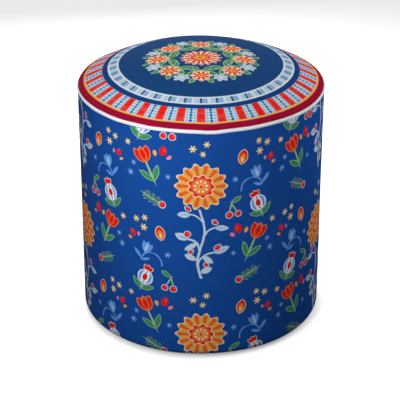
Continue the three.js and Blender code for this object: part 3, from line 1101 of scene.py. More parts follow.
@dataclass(frozen=True)
class Pine(Finish):
    """Planed pine with its rings and knots, the grain upright."""

    early: Rgb = srgb(226, 190, 136)  # the colour of the soft early wood
    late: Rgb = srgb(186, 130, 72)  # the colour of the hard late wood
    knot: Rgb = srgb(122, 70, 36)  # the colour of its knots
    ring_mm: float = 3.6  # from one year's ring to the next

    def draw(self, shader: Shader) -> None:
        """Draws the pine.

        Args:
            shader: The material's nodes.
        """
        where = shader.object_mm()
        bend = shader.mottle(where, (70.0, 70.0, 420.0), 2.0)
        x, y = where.placed(46.0, -38.0).split()
        reach = shader.spot(x, y).length() + bend * 22.0
        ring = (reach / self.ring_mm).math("FRACT")
        late = ring.math("POWER", 3.0)
        fibre = shader.mottle(where, (0.8, 0.8, 26.0), 3.0)
        knot = shader.cells(where, 62.0).ramp(0.13, -22.0)
        paint = Paint(shader, self.early).over(late * 0.8, self.late)
        paint.over(knot * 0.85, self.knot).toned(fibre * 0.3 + 0.85)
        shader.finish(paint, 0.66 - late * 0.15, fibre + late * 0.6, 0.00012)


@dataclass(frozen=True)
class Hardboard(Finish):
    """Brown hardboard of pressed fibres."""

    colour: Rgb = srgb(128, 84, 52)
    fleck: Rgb = srgb(78, 46, 26)  # the colour of its darker fibres

    def draw(self, shader: Shader) -> None:
        """Draws the hardboard.

        Args:
            shader: The material's nodes.
        """
        where = shader.object_mm()
        fibres = shader.mottle(where, (1.3, 1.3, 0.5), 4.0, 3.0)
        cloudy = shader.mottle(where, 34.0, 3.0)
        paint = Paint(shader, self.colour).over(fibres.ramp(0.45, 3.0), self.fleck)
        paint.toned(cloudy * 0.5 + 0.75)
        shader.finish(paint, fibres * 0.3 + 0.4, fibres, 0.00008)


@dataclass(frozen=True)
class ZincSteel(Finish):
    """Zinc-plated steel with its faint yellow and blue cast."""

    colour: Rgb = srgb(186, 186, 182)
    cast: Rgb = srgb(192, 176, 128)  # the colour of the passivated patches

    def draw(self, shader: Shader) -> None:
        """Draws the plated steel.

        Args:
            shader: The material's nodes.
        """
        where = shader.object_mm()
        patches = shader.mottle(where, 2.4, 3.0)
        scratches = shader.mottle(where, (0.15, 2.0, 2.0), 2.0)
        paint = Paint(shader, self.colour).over(patches.ramp(0.35, 2.0), self.cast)
        rough = scratches * 0.25 + patches * 0.15 + 0.15
        shader.finish(paint, rough, scratches, 0.00002, Metallic=1.0)


@dataclass(frozen=True)
class Nylon(Finish):
    """Moulded black nylon, scuffed where it meets the floor."""

    colour: Rgb = srgb(34, 34, 36)
    scuff: Rgb = srgb(104, 102, 98)  # the colour of its scratches

    def draw(self, shader: Shader) -> None:
        """Draws the nylon.

        Args:
            shader: The material's nodes.
        """
        where = shader.object_mm()
        z = shader.part(where, 2)
        grain = shader.mottle(where, 0.5, 3.0)
        lines = shader.mottle(where.placed(0.0, 0.0, 31.0), (0.25, 7.0, 3.0), 2.0, 0.6)
        marks = lines.ramp(0.58, 7.0) * z.ramp(0.7, -2.5)
        paint = Paint(shader, self.colour).toned(grain * 0.4 + 0.8).over(marks * 0.7, self.scuff)
        shader.finish(paint, grain * 0.15 + marks * 0.2 + 0.36, grain, 0.00005)


@dataclass(frozen=True)
class OpenFoam(Finish):
    """Upholstery foam with open cells."""

    colour: Rgb = srgb(232, 220, 176)
    deep: Rgb = srgb(176, 150, 92)  # the painted shade within its cells
    cell_mm: float = 1.3  # the size of one cell

    def draw(self, shader: Shader) -> None:
        """Draws the foam.

        Args:
            shader: The material's nodes.
        """
        where = shader.object_mm()
        cells = shader.cells(where, self.cell_mm)
        cloudy = shader.mottle(where, 40.0, 2.0)
        # the cells' hollows are painted in the darker colour: painted shade
        paint = Paint(shader, self.colour).over(cells.ramp(0.5, -1.1), self.deep)
        paint.toned(cloudy * 0.2 + 0.9)
        shader.finish(paint, 0.95, cells, 0.0004, Specular_IOR_Level=0.2)


@dataclass(frozen=True)
class Batting(Finish):
    """White polyester wadding with its tangled fibres."""

    colour: Rgb = srgb(238, 238, 232)

    def draw(self, shader: Shader) -> None:
        """Draws the wadding.

        Args:
            shader: The material's nodes.
        """
        where = shader.object_mm()
        tangle = shader.mottle(where, (0.7, 6.0, 2.0), 4.0, 2.0)
        other = shader.mottle(where, (6.0, 0.7, 6.0), 4.0, 2.0)
        puffs = shader.mottle(where, 14.0, 3.0)
        level = tangle + other
        paint = Paint(shader, self.colour).toned(level * 0.25 + 0.75).toned(puffs * 0.2 + 0.9)
        shader.finish(paint, 0.95, level + puffs * 2.0, 0.0005, Sheen_Weight=0.3)


@dataclass(frozen=True)
class CottonCord(Finish):
    """Soft cotton cord of spun yarn."""

    colour: Rgb = srgb(216, 208, 184)
    yarn_mm: float = 0.5  # the width of one yarn

    def draw(self, shader: Shader) -> None:
        """Draws the cord's cotton.

        Args:
            shader: The material's nodes.
        """
        where = shader.cloth_mm().placed(0.0, 0.0, 38.0)
        yarn = shader.mottle(where, (9.0, self.yarn_mm, 3.0), 3.0)
        fluff = shader.mottle(where, 1.1, 3.0)
        paint = Paint(shader, self.colour).toned(yarn * 0.5 + 0.72)
        shader.finish(paint, fluff * 0.1 + 0.85, yarn + fluff * 0.4, 0.0003, Sheen_Weight=0.2)


# Meshes


@dataclass(frozen=True)
class Drum:
    """The sizes that drive the cover's shape, as the frame was built to them."""

    side_radius: float = 0.210
    seam_height: float = 0.423
    panel_set_back: float = 0.001
    edge_rise: float = 0.0024
    crown_rise: float = 0.048
    crown_power: float = 2.5
    piping_radius: float = 0.00325
    piping_proud: float = 0.0013
    bend_radius: float = 0.003778
    seam_allowance: float = 0.012
    cover_cloth: float = 0.0009
    piping_cloth: float = 0.0005
    dust_cloth: float = 0.0005
    ply_gap: float = 0.0002
    clearance: float = 0.0003
    lower_edge_radius: float = 0.0113
    hem_width: float = 0.027
    hem_bottom: float = 0.0048
    top_wadding: float = 0.006
    seat_top: float = 0.381
    wall_bottom: float = 0.008
    dust_bottom: float = 0.004

    @property
    def panel_radius(self) -> float:
        """The radius of the top panel."""
        return self.side_radius - self.panel_set_back

    @property
    def piping_middle(self) -> tuple[float, float]:
        """The radius and the height of the middle of the piping."""
        radius = self.side_radius + self.piping_proud - self.piping_radius
        return radius, self.seam_height - self.bend_radius

    @property
    def flange_radius(self) -> float:
        """The radius at which the piping's two plies hang down side by side."""
        return self.piping_middle[0] - self.piping_radius * 0.75

    @property
    def tail_bottom(self) -> float:
        """The height of the seam's cut edges."""
        return self.piping_middle[1] - self.seam_allowance

    @property
    def frame_radius(self) -> float:
        """The outside of the wall and of the foam."""
        inside_tail = self.piping_middle[0] - self.bend_radius
        return inside_tail - self.cover_cloth - self.clearance

    @property
    def side_run(self) -> float:
        """How far up the side's cloth the seam lies, from the hem's cut edge."""
        upright = self.seam_height - self.hem_bottom - self.lower_edge_radius
        return self.hem_width + math.pi / 2.0 * self.lower_edge_radius + upright

    def crown(self, radius: float) -> float:
        """Gives the height of the top panel's face at a radius."""
        fall = min(1.0, radius / self.panel_radius) ** self.crown_power
        return self.seam_height + self.edge_rise + self.crown_rise * (1.0 - fall)


@dataclass(frozen=True)
class SeamWaver:
    """How a hand-sewn seam leaves its true circle."""

    height: float = 0.0009  # how far it wavers up and down
    reach: float = 0.030  # how far from the seam the cloth moves with it
    dip: float = 0.0016  # how deep it sags at one place in front
    dip_at: float = 5.0  # where it sags, in degrees to the right of the front
    dip_width: float = 5.0  # how wide the sag is, in degrees

    def shift(self, co: Vector, from_seam: float) -> float:
        """Gives how far a point moves up.

        Args:
            co: The point.
            from_seam: Its distance from the seam along the cloth.

        Returns:
            The move, which is less than 0 where the seam sags.
        """
        angle = facing(co)
        around = Vector((math.cos(angle) * 1.7, math.sin(angle) * 1.7, 3.1))
        waver = noise.noise(around) + 0.45 * noise.noise(around * 3.3)
        off = math.degrees(angle) - self.dip_at
        sag = math.exp(-((off / self.dip_width) ** 2))
        fade = max(0.0, 1.0 - abs(from_seam) / self.reach)
        return (self.height * waver - self.dip * sag) * fade * fade * (3.0 - 2.0 * fade)


class Outline:
    """A section in the plane y = 0, drawn with a pen: runs are extruded and bends are spun."""

    def __init__(self, radius: float, height: float) -> None:
        """Sets the pen down.

        Args:
            radius: The pen's distance from the axis.
            height: The pen's height.
        """
        self.mesh = bmesh.new()
        self.run = self.mesh.verts.layers.float.new("run")
        self.tip = self.mesh.verts.new((radius, 0.0, height))
        self.corners: list[tuple[Vector, float, int]] = []

    def line(
        self, radius: float, height: float, cuts: int = 0, soften: float = 0.0, segments: int = 3
    ) -> "Outline":
        """Draws a straight run.

        Args:
            radius: Where the run ends, from the axis.
            height: Where the run ends, from the floor.
            cuts: How many times the run is divided.
            soften: How far from its end the corner there is rounded, once all is drawn.
            segments: How many steps the rounded corner has.

        Returns:
            The outline.
        """
        grown = bmesh.ops.extrude_vert_indiv(self.mesh, verts=[self.tip])
        self.tip = grown["verts"][0]
        self.tip.co = (radius, 0.0, height)
        if cuts:
            bmesh.ops.subdivide_edges(self.mesh, edges=grown["edges"], cuts=cuts)
            self.tip = self.nearest(Vector((radius, 0.0, height)))
        if soften:
            self.corners.append((self.tip.co.copy(), soften, segments))
        return self

    def nearest(self, co: Vector) -> BMVert:
        """Gives the vertex nearest to a point."""
        return min(self.mesh.verts, key=lambda vert: (vert.co - co).length)

    def bend(self, radius: float, height: float, turn: float, steps: int) -> "Outline":
        """Draws an arc.

        Args:
            radius: The middle of the arc, from the axis.
            height: The middle of the arc, from the floor.
            turn: How far it turns anticlockwise, in degrees.
            steps: How many steps it has.

        Returns:
            The outline.
        """
        spun = bmesh.ops.spin(
            self.mesh, geom=[self.tip], cent=(radius, 0.0, height), axis=(0.0, -1.0, 0.0),
            angle=math.radians(turn), steps=steps, use_duplicate=False,
        )
        self.tip = next(part for part in spun["geom_last"] if isinstance(part, BMVert))
        return self

    def close(self) -> "Outline":
        """Joins the pen's place to where it was set down."""
        self.mesh.edges.new([vert for vert in self.mesh.verts if len(vert.link_edges) == 1])
        return self

    def turned(self, steps: int = ROUND_STEPS) -> BMesh:
        """Rounds the corners, measures the run, and spins the section about the axis.

        Args:
            steps: How many steps the spin has.

        Returns:
            The mesh, with each point's run along the section.
        """
        mesh = self.mesh
        for corner, soften, segments in self.corners:
            bmesh.ops.bevel(
                mesh, geom=[self.nearest(corner)], offset=soften, offset_type="OFFSET",
                affect="VERTICES", segments=segments, profile=0.5, material=-1,
            )
        self.measure()
        bmesh.ops.spin(
            mesh, geom=mesh.verts[:] + mesh.edges[:], cent=(0.0, 0.0, 0.0), axis=(0.0, 0.0, 1.0),
            angle=FULL_TURN, steps=steps, use_merge=True, use_duplicate=False,
        )
        bmesh.ops.remove_doubles(mesh, verts=mesh.verts[:], dist=WELD)
        bmesh.ops.recalc_face_normals(mesh, faces=mesh.faces[:])
        widest = max(mesh.faces, key=lambda face: face.calc_center_median().xy.length)
        middle = widest.calc_center_median()
        if widest.normal.xy.dot(middle.xy) <= 0.0:
            bmesh.ops.reverse_faces(mesh, faces=mesh.faces[:])
        return mesh

    def measure(self) -> None:
        """Writes each point's distance along the section from where the pen was set down."""
        self.mesh.verts.ensure_lookup_table()
        here, run, seen = self.mesh.verts[0], 0.0, set()
        while here is not None:
            here[self.run] = run
            seen.add(here)
            others = (edge.other_vert(here) for edge in here.link_edges)
            following = next((vert for vert in others if vert not in seen), None)
            if following:
                run += (following.co - here.co).length
            here = following


def map_round(mesh: BMesh, radius: float) -> None:
    """Gives a turned mesh the map of its flat cloth: round the stool, and along its section.

    Args:
        mesh: The mesh.
        radius: The radius at which the map is as wide as the piece.
    """
    run = mesh.verts.layers.float["run"]
    chart = mesh.loops.layers.uv.new(CLOTH_MAP)
    for face in mesh.faces:
        middle = face.calc_center_median()
        towards = facing(middle)
        for loop in face.loops:
            co = loop.vert.co
            angle = facing(co) if co.xy.length > TINY else towards
            angle += FULL_TURN * round((towards - angle) / FULL_TURN)
            loop[chart].uv = (angle * radius, loop.vert[run])


def settle(mesh: BMesh, move: Callable[[Vector, float], Vector]) -> None:
    """Moves each point of a mesh.

    Args:
        mesh: The mesh, with its runs.
        move: Gives a point's move from its place and its run.
    """
    run = mesh.verts.layers.float["run"]
    for vert in mesh.verts:
        vert.co += move(vert.co.copy(), vert[run])


def node_box(name: str) -> tuple[Vector, Vector, Vector]:
    """Gives a frame node's lowest and highest corners, and its middle."""
    low, high = (Vector(corner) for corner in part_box(name))
    return low, high, (low + high) / 2.0


def facing(co: Vector) -> float:
    """Gives the direction from the axis to a point, in radians to the right of the front."""
    return math.atan2(co.x, -co.y)


def raised(up: float) -> Vector:
    """Gives a move straight up."""
    return Vector((0.0, 0.0, up))


def outwards(co: Vector) -> Vector:
    """Gives the level direction from the axis to a point."""
    flat = Vector((co.x, co.y, 0.0))
    return flat.normalized() if flat.length > TINY else Vector((0.0, 0.0, 0.0))


def added(name: str, data: Union[bpy.types.Mesh, bpy.types.Camera, bpy.types.Light]) -> Object:
    """Puts a new object into the scene.

    Args:
        name: The object's name.
        data: Its mesh, camera or lamp.

    Returns:
        The object.
    """
    made = bpy.data.objects.new(name, data)
    bpy.context.scene.collection.objects.link(made)
    return made


def meshed(name: str, mesh: BMesh, material: Material) -> Object:
    """Makes an object of a mesh and puts it into the scene.

    Args:
        name: The object's name.
        mesh: The mesh, which is freed.
        material: Its material.

    Returns:
        The object.
    """
    data = bpy.data.meshes.new(name)
    mesh.to_mesh(data)
    mesh.free()
    data.materials.append(material)
    return added(name, data)


def piece(
    name: str, mesh: BMesh, material: Material, stands_for: Sequence[str] = ()
) -> Object:
    """Makes a smooth object of a mesh and gives it to the stool's body.

    Args:
        name: The piece's name.
        mesh: The mesh, which is freed.
        material: The piece's finish.
        stands_for: The frame's nodes that the piece replaces.

    Returns:
        The object.
    """
    made = meshed(name, mesh, material)
    faces = made.data.polygons
    faces.foreach_set("use_smooth", [True] * len(faces))
    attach(made, BODY)
    if stands_for:
        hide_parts(*stands_for)
    LOG.info("%s: %d faces", name, len(faces))
    return made


def thicken(made: Object, thickness: float) -> None:
    """Gives a sheet its thickness, on the side that faces away from its outward face.

    Args:
        made: The sheet.
        thickness: How thick it is.
    """
    solid = made.modifiers.new("thickness", "SOLIDIFY")
    solid.thickness = thickness
    solid.offset = -1.0
    solid.use_even_offset = True


def sharpen(made: Object, degrees: float = 35.0) -> None:
    """Keeps the edges sharp where a piece's faces meet at more than an angle."""
    made.data.set_sharp_from_angle(angle=math.radians(degrees))


# Sub-assemblies


@dataclass
class SeatTop:
    """The crowned seat: the printed top panel, the wadding under it and the foam."""

    drum: Drum
    waver: SeamWaver
    pucker: float = 0.00022  # how deep the panel puckers at the seam
    pucker_reach: float = 0.022  # how far from the seam it does
    slack: float = 0.0007  # how uneven the panel is
    slack_start: float = 0.03  # how far from the seam it is as uneven as that
    over_edge: float = 0.0023  # what the turn over the edge adds to the flat cloth
    over_piping: float = 0.0065  # what the bend round the piping adds to it
    rim_gap: float = 0.0012  # how far inside the panel the wadding's rim stays
    shoulder: float = 0.004  # how far from its side the foam's top edge starts to round
    pressed: float = 0.0012  # how much lower the foam is pressed there
    rounded: float = 0.0045  # how much lower than the crown's line the foam's side starts
    lean: float = 72.0  # where the panel meets the piping, in degrees above its outer side

    def panel_shape(self) -> BMesh:
        """Shapes the top panel: over the seat, over the piping and down as a tail.

        Returns:
            The mesh.
        """
        drum = self.drum
        middle_r, middle_z = drum.piping_middle
        touch = drum.piping_radius + drum.clearance
        lean = math.radians(self.lean)
        start = (middle_r + touch * math.cos(lean), middle_z + touch * math.sin(lean))
        edge_height = drum.crown(drum.panel_radius)
        outline = Outline(0.0, drum.crown(0.0))
        outline.line(drum.panel_radius, edge_height, cuts=27, soften=0.0019, segments=4)
        outline.line(*start, soften=0.0005)
        outline.bend(middle_r, middle_z, 180.0 - self.lean, 8)
        outline.line(middle_r - touch, drum.tail_bottom, cuts=1)
        for vert in outline.mesh.verts:
            if vert.co.z > edge_height - TINY and vert.co.x < drum.panel_radius - TINY:
                vert.co.z = drum.crown(vert.co.x)
        return outline.turned()

    def panel_move(self, co: Vector, run: float) -> Vector:
        """Gives the top panel's small unevenness at a point.

        Args:
            co: The point.
            run: Its place along the section, which is not used here.

        Returns:
            Its move.
        """
        drum = self.drum
        from_seam = drum.panel_radius - co.xy.length
        if co.z < drum.seam_height:
            from_seam = 0.0
        up = self.waver.shift(co, from_seam)
        angle = facing(co)
        near = max(0.0, 1.0 - max(0.0, from_seam) / self.pucker_reach)
        ring = Vector((math.cos(angle) * 9.0, math.sin(angle) * 9.0, 0.7))
        up += self.pucker * near * noise.noise(ring * 1.6)
        inner = min(1.0, max(0.0, from_seam) / self.slack_start)
        up += self.slack * inner * noise.noise(co * 11.0 + Vector((3.0, 1.0, 0.0)))
        return raised(up)

    def panel(self, finish: Material) -> None:
        """Builds the top panel.

        Args:
            finish: The printed cloth.
        """
        mesh = self.panel_shape()
        map_round(mesh, self.drum.side_radius)
        settle(mesh, self.panel_move)
        made = piece("seat_panel", mesh, finish, ["top_cover"])
        thicken(made, self.drum.cover_cloth)

    def wadding(self, finish: Material) -> None:
        """Builds the wadding between the foam and the panel.

        Args:
            finish: The wadding's fibres.
        """
        drum = self.drum
        over = drum.cover_cloth + 2.0 * drum.clearance
        lowest = drum.seam_height + over
        rim = drum.panel_radius - over - self.rim_gap
        outline = Outline(0.0, drum.crown(0.0) - over)
        outline.line(rim, drum.crown(rim) - over, cuts=20)
        for vert in outline.mesh.verts:
            vert.co.z = drum.crown(vert.co.x) - over
        outline.line(rim, lowest).line(drum.frame_radius, lowest)
        under = over + drum.top_wadding - drum.clearance
        before = set(outline.mesh.verts)
        outline.line(0.0, drum.crown(0.0) - under, cuts=20)
        for vert in set(outline.mesh.verts) - before:
            vert.co.z = max(drum.crown(vert.co.x) - under, lowest)
        mesh = outline.turned(steps=96)
        settle(mesh, lambda co, run: raised(drum.clearance * (noise.noise(co * 60.0) - 1.0)))
        made = piece("seat_wadding", mesh, finish, ["top_wadding"])

    def foam(self, finish: Material) -> None:
        """Builds the foam seat, its top edge pressed round.

        Args:
            finish: The foam.
        """
        drum = self.drum
        depth = drum.cover_cloth + drum.top_wadding + 3.0 * drum.clearance
        rim = drum.frame_radius
        foot = drum.seat_top + drum.clearance
        outline = Outline(0.0, drum.crown(0.0) - depth)
        edge = rim - self.shoulder
        outline.line(edge, drum.crown(edge) - depth - self.pressed, cuts=16)
        for vert in outline.mesh.verts:
            if vert.co.x < rim - self.shoulder * 1.5:
                vert.co.z = drum.crown(vert.co.x) - depth
        outline.line(rim, drum.crown(rim) - depth - self.rounded, soften=0.0015)
        outline.line(rim, foot, cuts=5, soften=0.002).line(0.0, foot, cuts=6)
        made = piece("foam_pad", outline.turned(steps=120), finish, ["seat_foam"])


@dataclass
class SeatPiping:
    """The piping: a twisted cord in a folded bias strip."""

    drum: Drum
    waver: SeamWaver
    steps: int = 20  # steps round the cord's section
    swell: float = 0.035  # how unevenly the strip stands off the cord, as a share of its radius
    fine_swell: float = 0.02  # the same, in shorter waves
    strands: int = 3  # strands in the cord
    lay: float = 0.017  # the length of one twist of the cord
    wrap: float = 0.016  # how much of the strip's width goes round the cord
    groove: float = 0.3  # how deep the cord is between its strands, as a share of its radius

    def strip(self, finish: Material) -> None:
        """Builds the piping's cloth: up from its cut edge, round the cord and down again.

        Args:
            finish: The piping's cotton.
        """
        drum = self.drum
        middle_r, middle_z = drum.piping_middle
        flange = drum.flange_radius
        inner = flange - drum.ply_gap / 2.0 - drum.piping_cloth
        outer = flange + drum.ply_gap / 2.0 + drum.piping_cloth
        leave_in = math.degrees(math.acos((inner - middle_r) / drum.piping_radius))
        leave_out = math.degrees(math.acos((outer - middle_r) / drum.piping_radius))
        lowered = drum.piping_radius * math.sin(math.radians(leave_in))
        outline = Outline(inner, drum.tail_bottom)
        outline.line(inner, middle_z - lowered, cuts=1)
        outline.bend(middle_r, middle_z, leave_in - leave_out - 360.0, 36)
        outline.line(outer, drum.tail_bottom, cuts=1)
        mesh = outline.turned()
        map_round(mesh, middle_r)
        settle(mesh, self.strip_move)
        made = piece("piping_strip", mesh, finish, ["piping_cover"])
        thicken(made, drum.piping_cloth)

    def strip_move(self, co: Vector, run: float) -> Vector:
        """Gives the piping's small unevenness at a point.

        Args:
            co: The point.
            run: Its place along the section, which is not used here.

        Returns:
            Its move.
        """
        middle_r, middle_z = self.drum.piping_middle
        out = outwards(co)
        from_middle = co - out * middle_r - raised(middle_z)
        swell = self.swell * noise.noise(out * 16.0) + self.fine_swell * noise.noise(out * 42.0)
        swell *= 1.0 if from_middle.length < self.drum.piping_radius * 1.1 else 0.0
        return from_middle * swell + raised(self.waver.shift(co, 0.0))

    def cord(self, finish: Material) -> None:
        """Builds the cord, its strands laid round each other.

        Args:
            finish: The cord's cotton.
        """
        drum = self.drum
        middle_r, middle_z = drum.piping_middle
        radius = drum.piping_radius - drum.piping_cloth - 2.0 * drum.clearance
        outline = Outline(middle_r + radius, middle_z)
        outline.bend(middle_r, middle_z, 360.0 - 360.0 / self.steps, self.steps - 1).close()
        mesh = outline.turned(steps=480)
        map_round(mesh, middle_r)
        twists = round(FULL_TURN * middle_r / self.lay)

        def lay_strands(co: Vector, run: float) -> Vector:
            """Draws the surface in between the strands.

            Args:
                co: The point.
                run: Its place along the section, which is not used here.

            Returns:
                Its move.
            """
            out = outwards(co)
            from_middle = co - out * middle_r - raised(middle_z)
            angle = facing(co)
            spin = math.atan2(from_middle.z, from_middle.dot(out))
            between = 1.0 - abs(math.cos((self.strands * spin + twists * angle) / 2.0))
            return from_middle * (-self.groove * between) + raised(self.waver.shift(co, 0.0))

        settle(mesh, lay_strands)
        piece("twisted_cord", mesh, finish, ["piping_cord"])


@dataclass
class SidePanel:
    """The side: the printed cloth with its hem, and the wadding behind it."""

    drum: Drum
    waver: SeamWaver
    pleats: int = 44  # small pleats in the hem
    pleat_depth: float = 0.0007  # how deep a pleat is at the cut edge
    seam_depth: float = 0.0012  # how deep the upright seam at the back lies
    seam_width: float = 0.0017  # how wide half of that seam's dip is, roughly
    slack: float = 0.0006  # how uneven the side is
    slack_start: float = 0.05  # how far below the piped seam it is as uneven as that
    pucker: float = 0.00018  # how deep the side puckers at the piped seam
    draw_in: float = 0.012  # how far below the piping's middle the side starts to draw in
    # where the mesh is divided beside the upright seam
    seam_cuts: tuple[float, ...] = (-0.0042, -0.0024, -0.0012, 0.0012, 0.0024, 0.0042)

    def shape(self) -> BMesh:
        """Shapes the side: hem, rounded lower edge, upright side and the tail in the seam.

        Returns:
            The mesh.
        """
        drum = self.drum
        middle_r, middle_z = drum.piping_middle
        touch = drum.piping_radius + drum.clearance
        edge_r = drum.side_radius - drum.lower_edge_radius
        tail_r = drum.flange_radius + drum.ply_gap / 2.0
        tail_r += drum.piping_cloth + drum.clearance
        lean, leave = math.radians(-64.0), math.radians(-92.0)
        outline = Outline(edge_r - drum.hem_width, drum.hem_bottom)
        outline.line(edge_r, drum.hem_bottom, cuts=6)
        outline.bend(edge_r, drum.hem_bottom + drum.lower_edge_radius, 90.0, 8)
        outline.line(drum.side_radius, middle_z - self.draw_in, cuts=38, soften=0.007, segments=5)
        outline.line(
            middle_r + touch * math.cos(lean), middle_z + touch * math.sin(lean), soften=0.0006
        )
        outline.bend(middle_r, middle_z, math.degrees(leave - lean), 4)
        across = tail_r - middle_r
        tail_top = middle_z - math.sqrt(touch**2 - across**2)
        outline.line(tail_r, tail_top, soften=0.0004)
        outline.line(tail_r, drum.tail_bottom, cuts=1)
        mesh = outline.turned()
        for offset in self.seam_cuts:
            behind = [face for face in mesh.faces if face.calc_center_median().y > 0.1]
            around = {part for face in behind for part in (*face.verts, *face.edges)}
            bmesh.ops.bisect_plane(
                mesh, geom=[*behind, *around], dist=WELD, plane_co=(offset, 0.0, 0.0),
                plane_no=(1.0, 0.0, 0.0),
            )
        return mesh

    def move(self, co: Vector, run: float) -> Vector:
        """Gives the side cloth's pleats, its seam at the back and its small unevenness.

        Args:
            co: The point.
            run: Its place along the section.

        Returns:
            Its move.
        """
        drum = self.drum
        out = outwards(co)
        angle = facing(co)
        up = self.waver.shift(co, drum.seam_height - co.z)
        on_hem = max(0.0, 1.0 - run / drum.hem_width)
        fold = abs(math.sin(angle * self.pleats / 2.0 + 0.8 * noise.noise(out * 7.0)))
        up -= self.pleat_depth * on_hem * (1.0 - fold) ** 1.5
        level = Vector((co.x * 9.0, co.y * 9.0, co.z * 6.0))
        below = drum.seam_height - co.z
        slack = self.slack * noise.noise(level) * min(1.0, max(0.0, below / self.slack_start))
        near = max(0.0, 1.0 - abs(below) / self.waver.reach)
        slack += self.pucker * near * noise.noise(out * 16.0)
        inward = 0.0
        if co.y > 0.0:
            inward = self.seam_depth * math.exp(-((co.x / self.seam_width) ** 2))
        if run < drum.hem_width:
            return raised(up + inward * 0.4)
        return out * (slack - inward) + raised(up)

    def cloth(self, finish: Material) -> None:
        """Builds the side's cloth.

        Args:
            finish: The printed cloth.
        """
        drum = self.drum
        mesh = self.shape()
        map_round(mesh, drum.side_radius)
        settle(mesh, self.move)
        made = piece("side_panel", mesh, finish, ["side_cover"])
        thicken(made, drum.cover_cloth)

    def wadding(self, finish: Material) -> None:
        """Builds the wadding between the wall and the cloth.

        Args:
            finish: The wadding's fibres.
        """
        drum = self.drum
        inner = drum.frame_radius + drum.clearance
        outer = drum.side_radius - drum.cover_cloth - 2.0 * drum.clearance
        top = drum.tail_bottom - drum.clearance
        outline = Outline(inner, drum.wall_bottom)
        outline.line(outer - 0.0024, drum.wall_bottom + 0.0006, soften=0.0008)
        outline.line(outer, drum.wall_bottom + 0.008, soften=0.003)
        outline.line(outer, top - 0.001, cuts=24).line(outer - 0.001, top).line(inner, top, cuts=1)
        outline.line(inner, drum.wall_bottom + 0.001, cuts=24)
        outline.close()
        mesh = outline.turned(steps=120)

        def fluff(co: Vector, run: float) -> Vector:
            """Draws the outer face in a little here and there."""
            share = max(0.0, min(1.0, (co.xy.length - inner) / (outer - inner)))
            return outwards(co) * (share * 0.0004 * (noise.noise(co * 40.0) - 1.0))

        settle(mesh, fluff)
        made = piece("side_wadding_wrap", mesh, finish, ["side_wadding"])


@dataclass(frozen=True)
class ScrewSize:
    """The sizes of a countersunk screw."""

    length: float
    shank: float
    head: float
    head_depth: float
    pitch: float


class ScrewKind(Enum):
    """The screws in the stool."""

    FRAME = ScrewSize(0.050, 0.00225, 0.0045, 0.0026, 0.0022)
    GLIDE = ScrewSize(0.014, 0.00175, 0.0034, 0.0017, 0.0014)


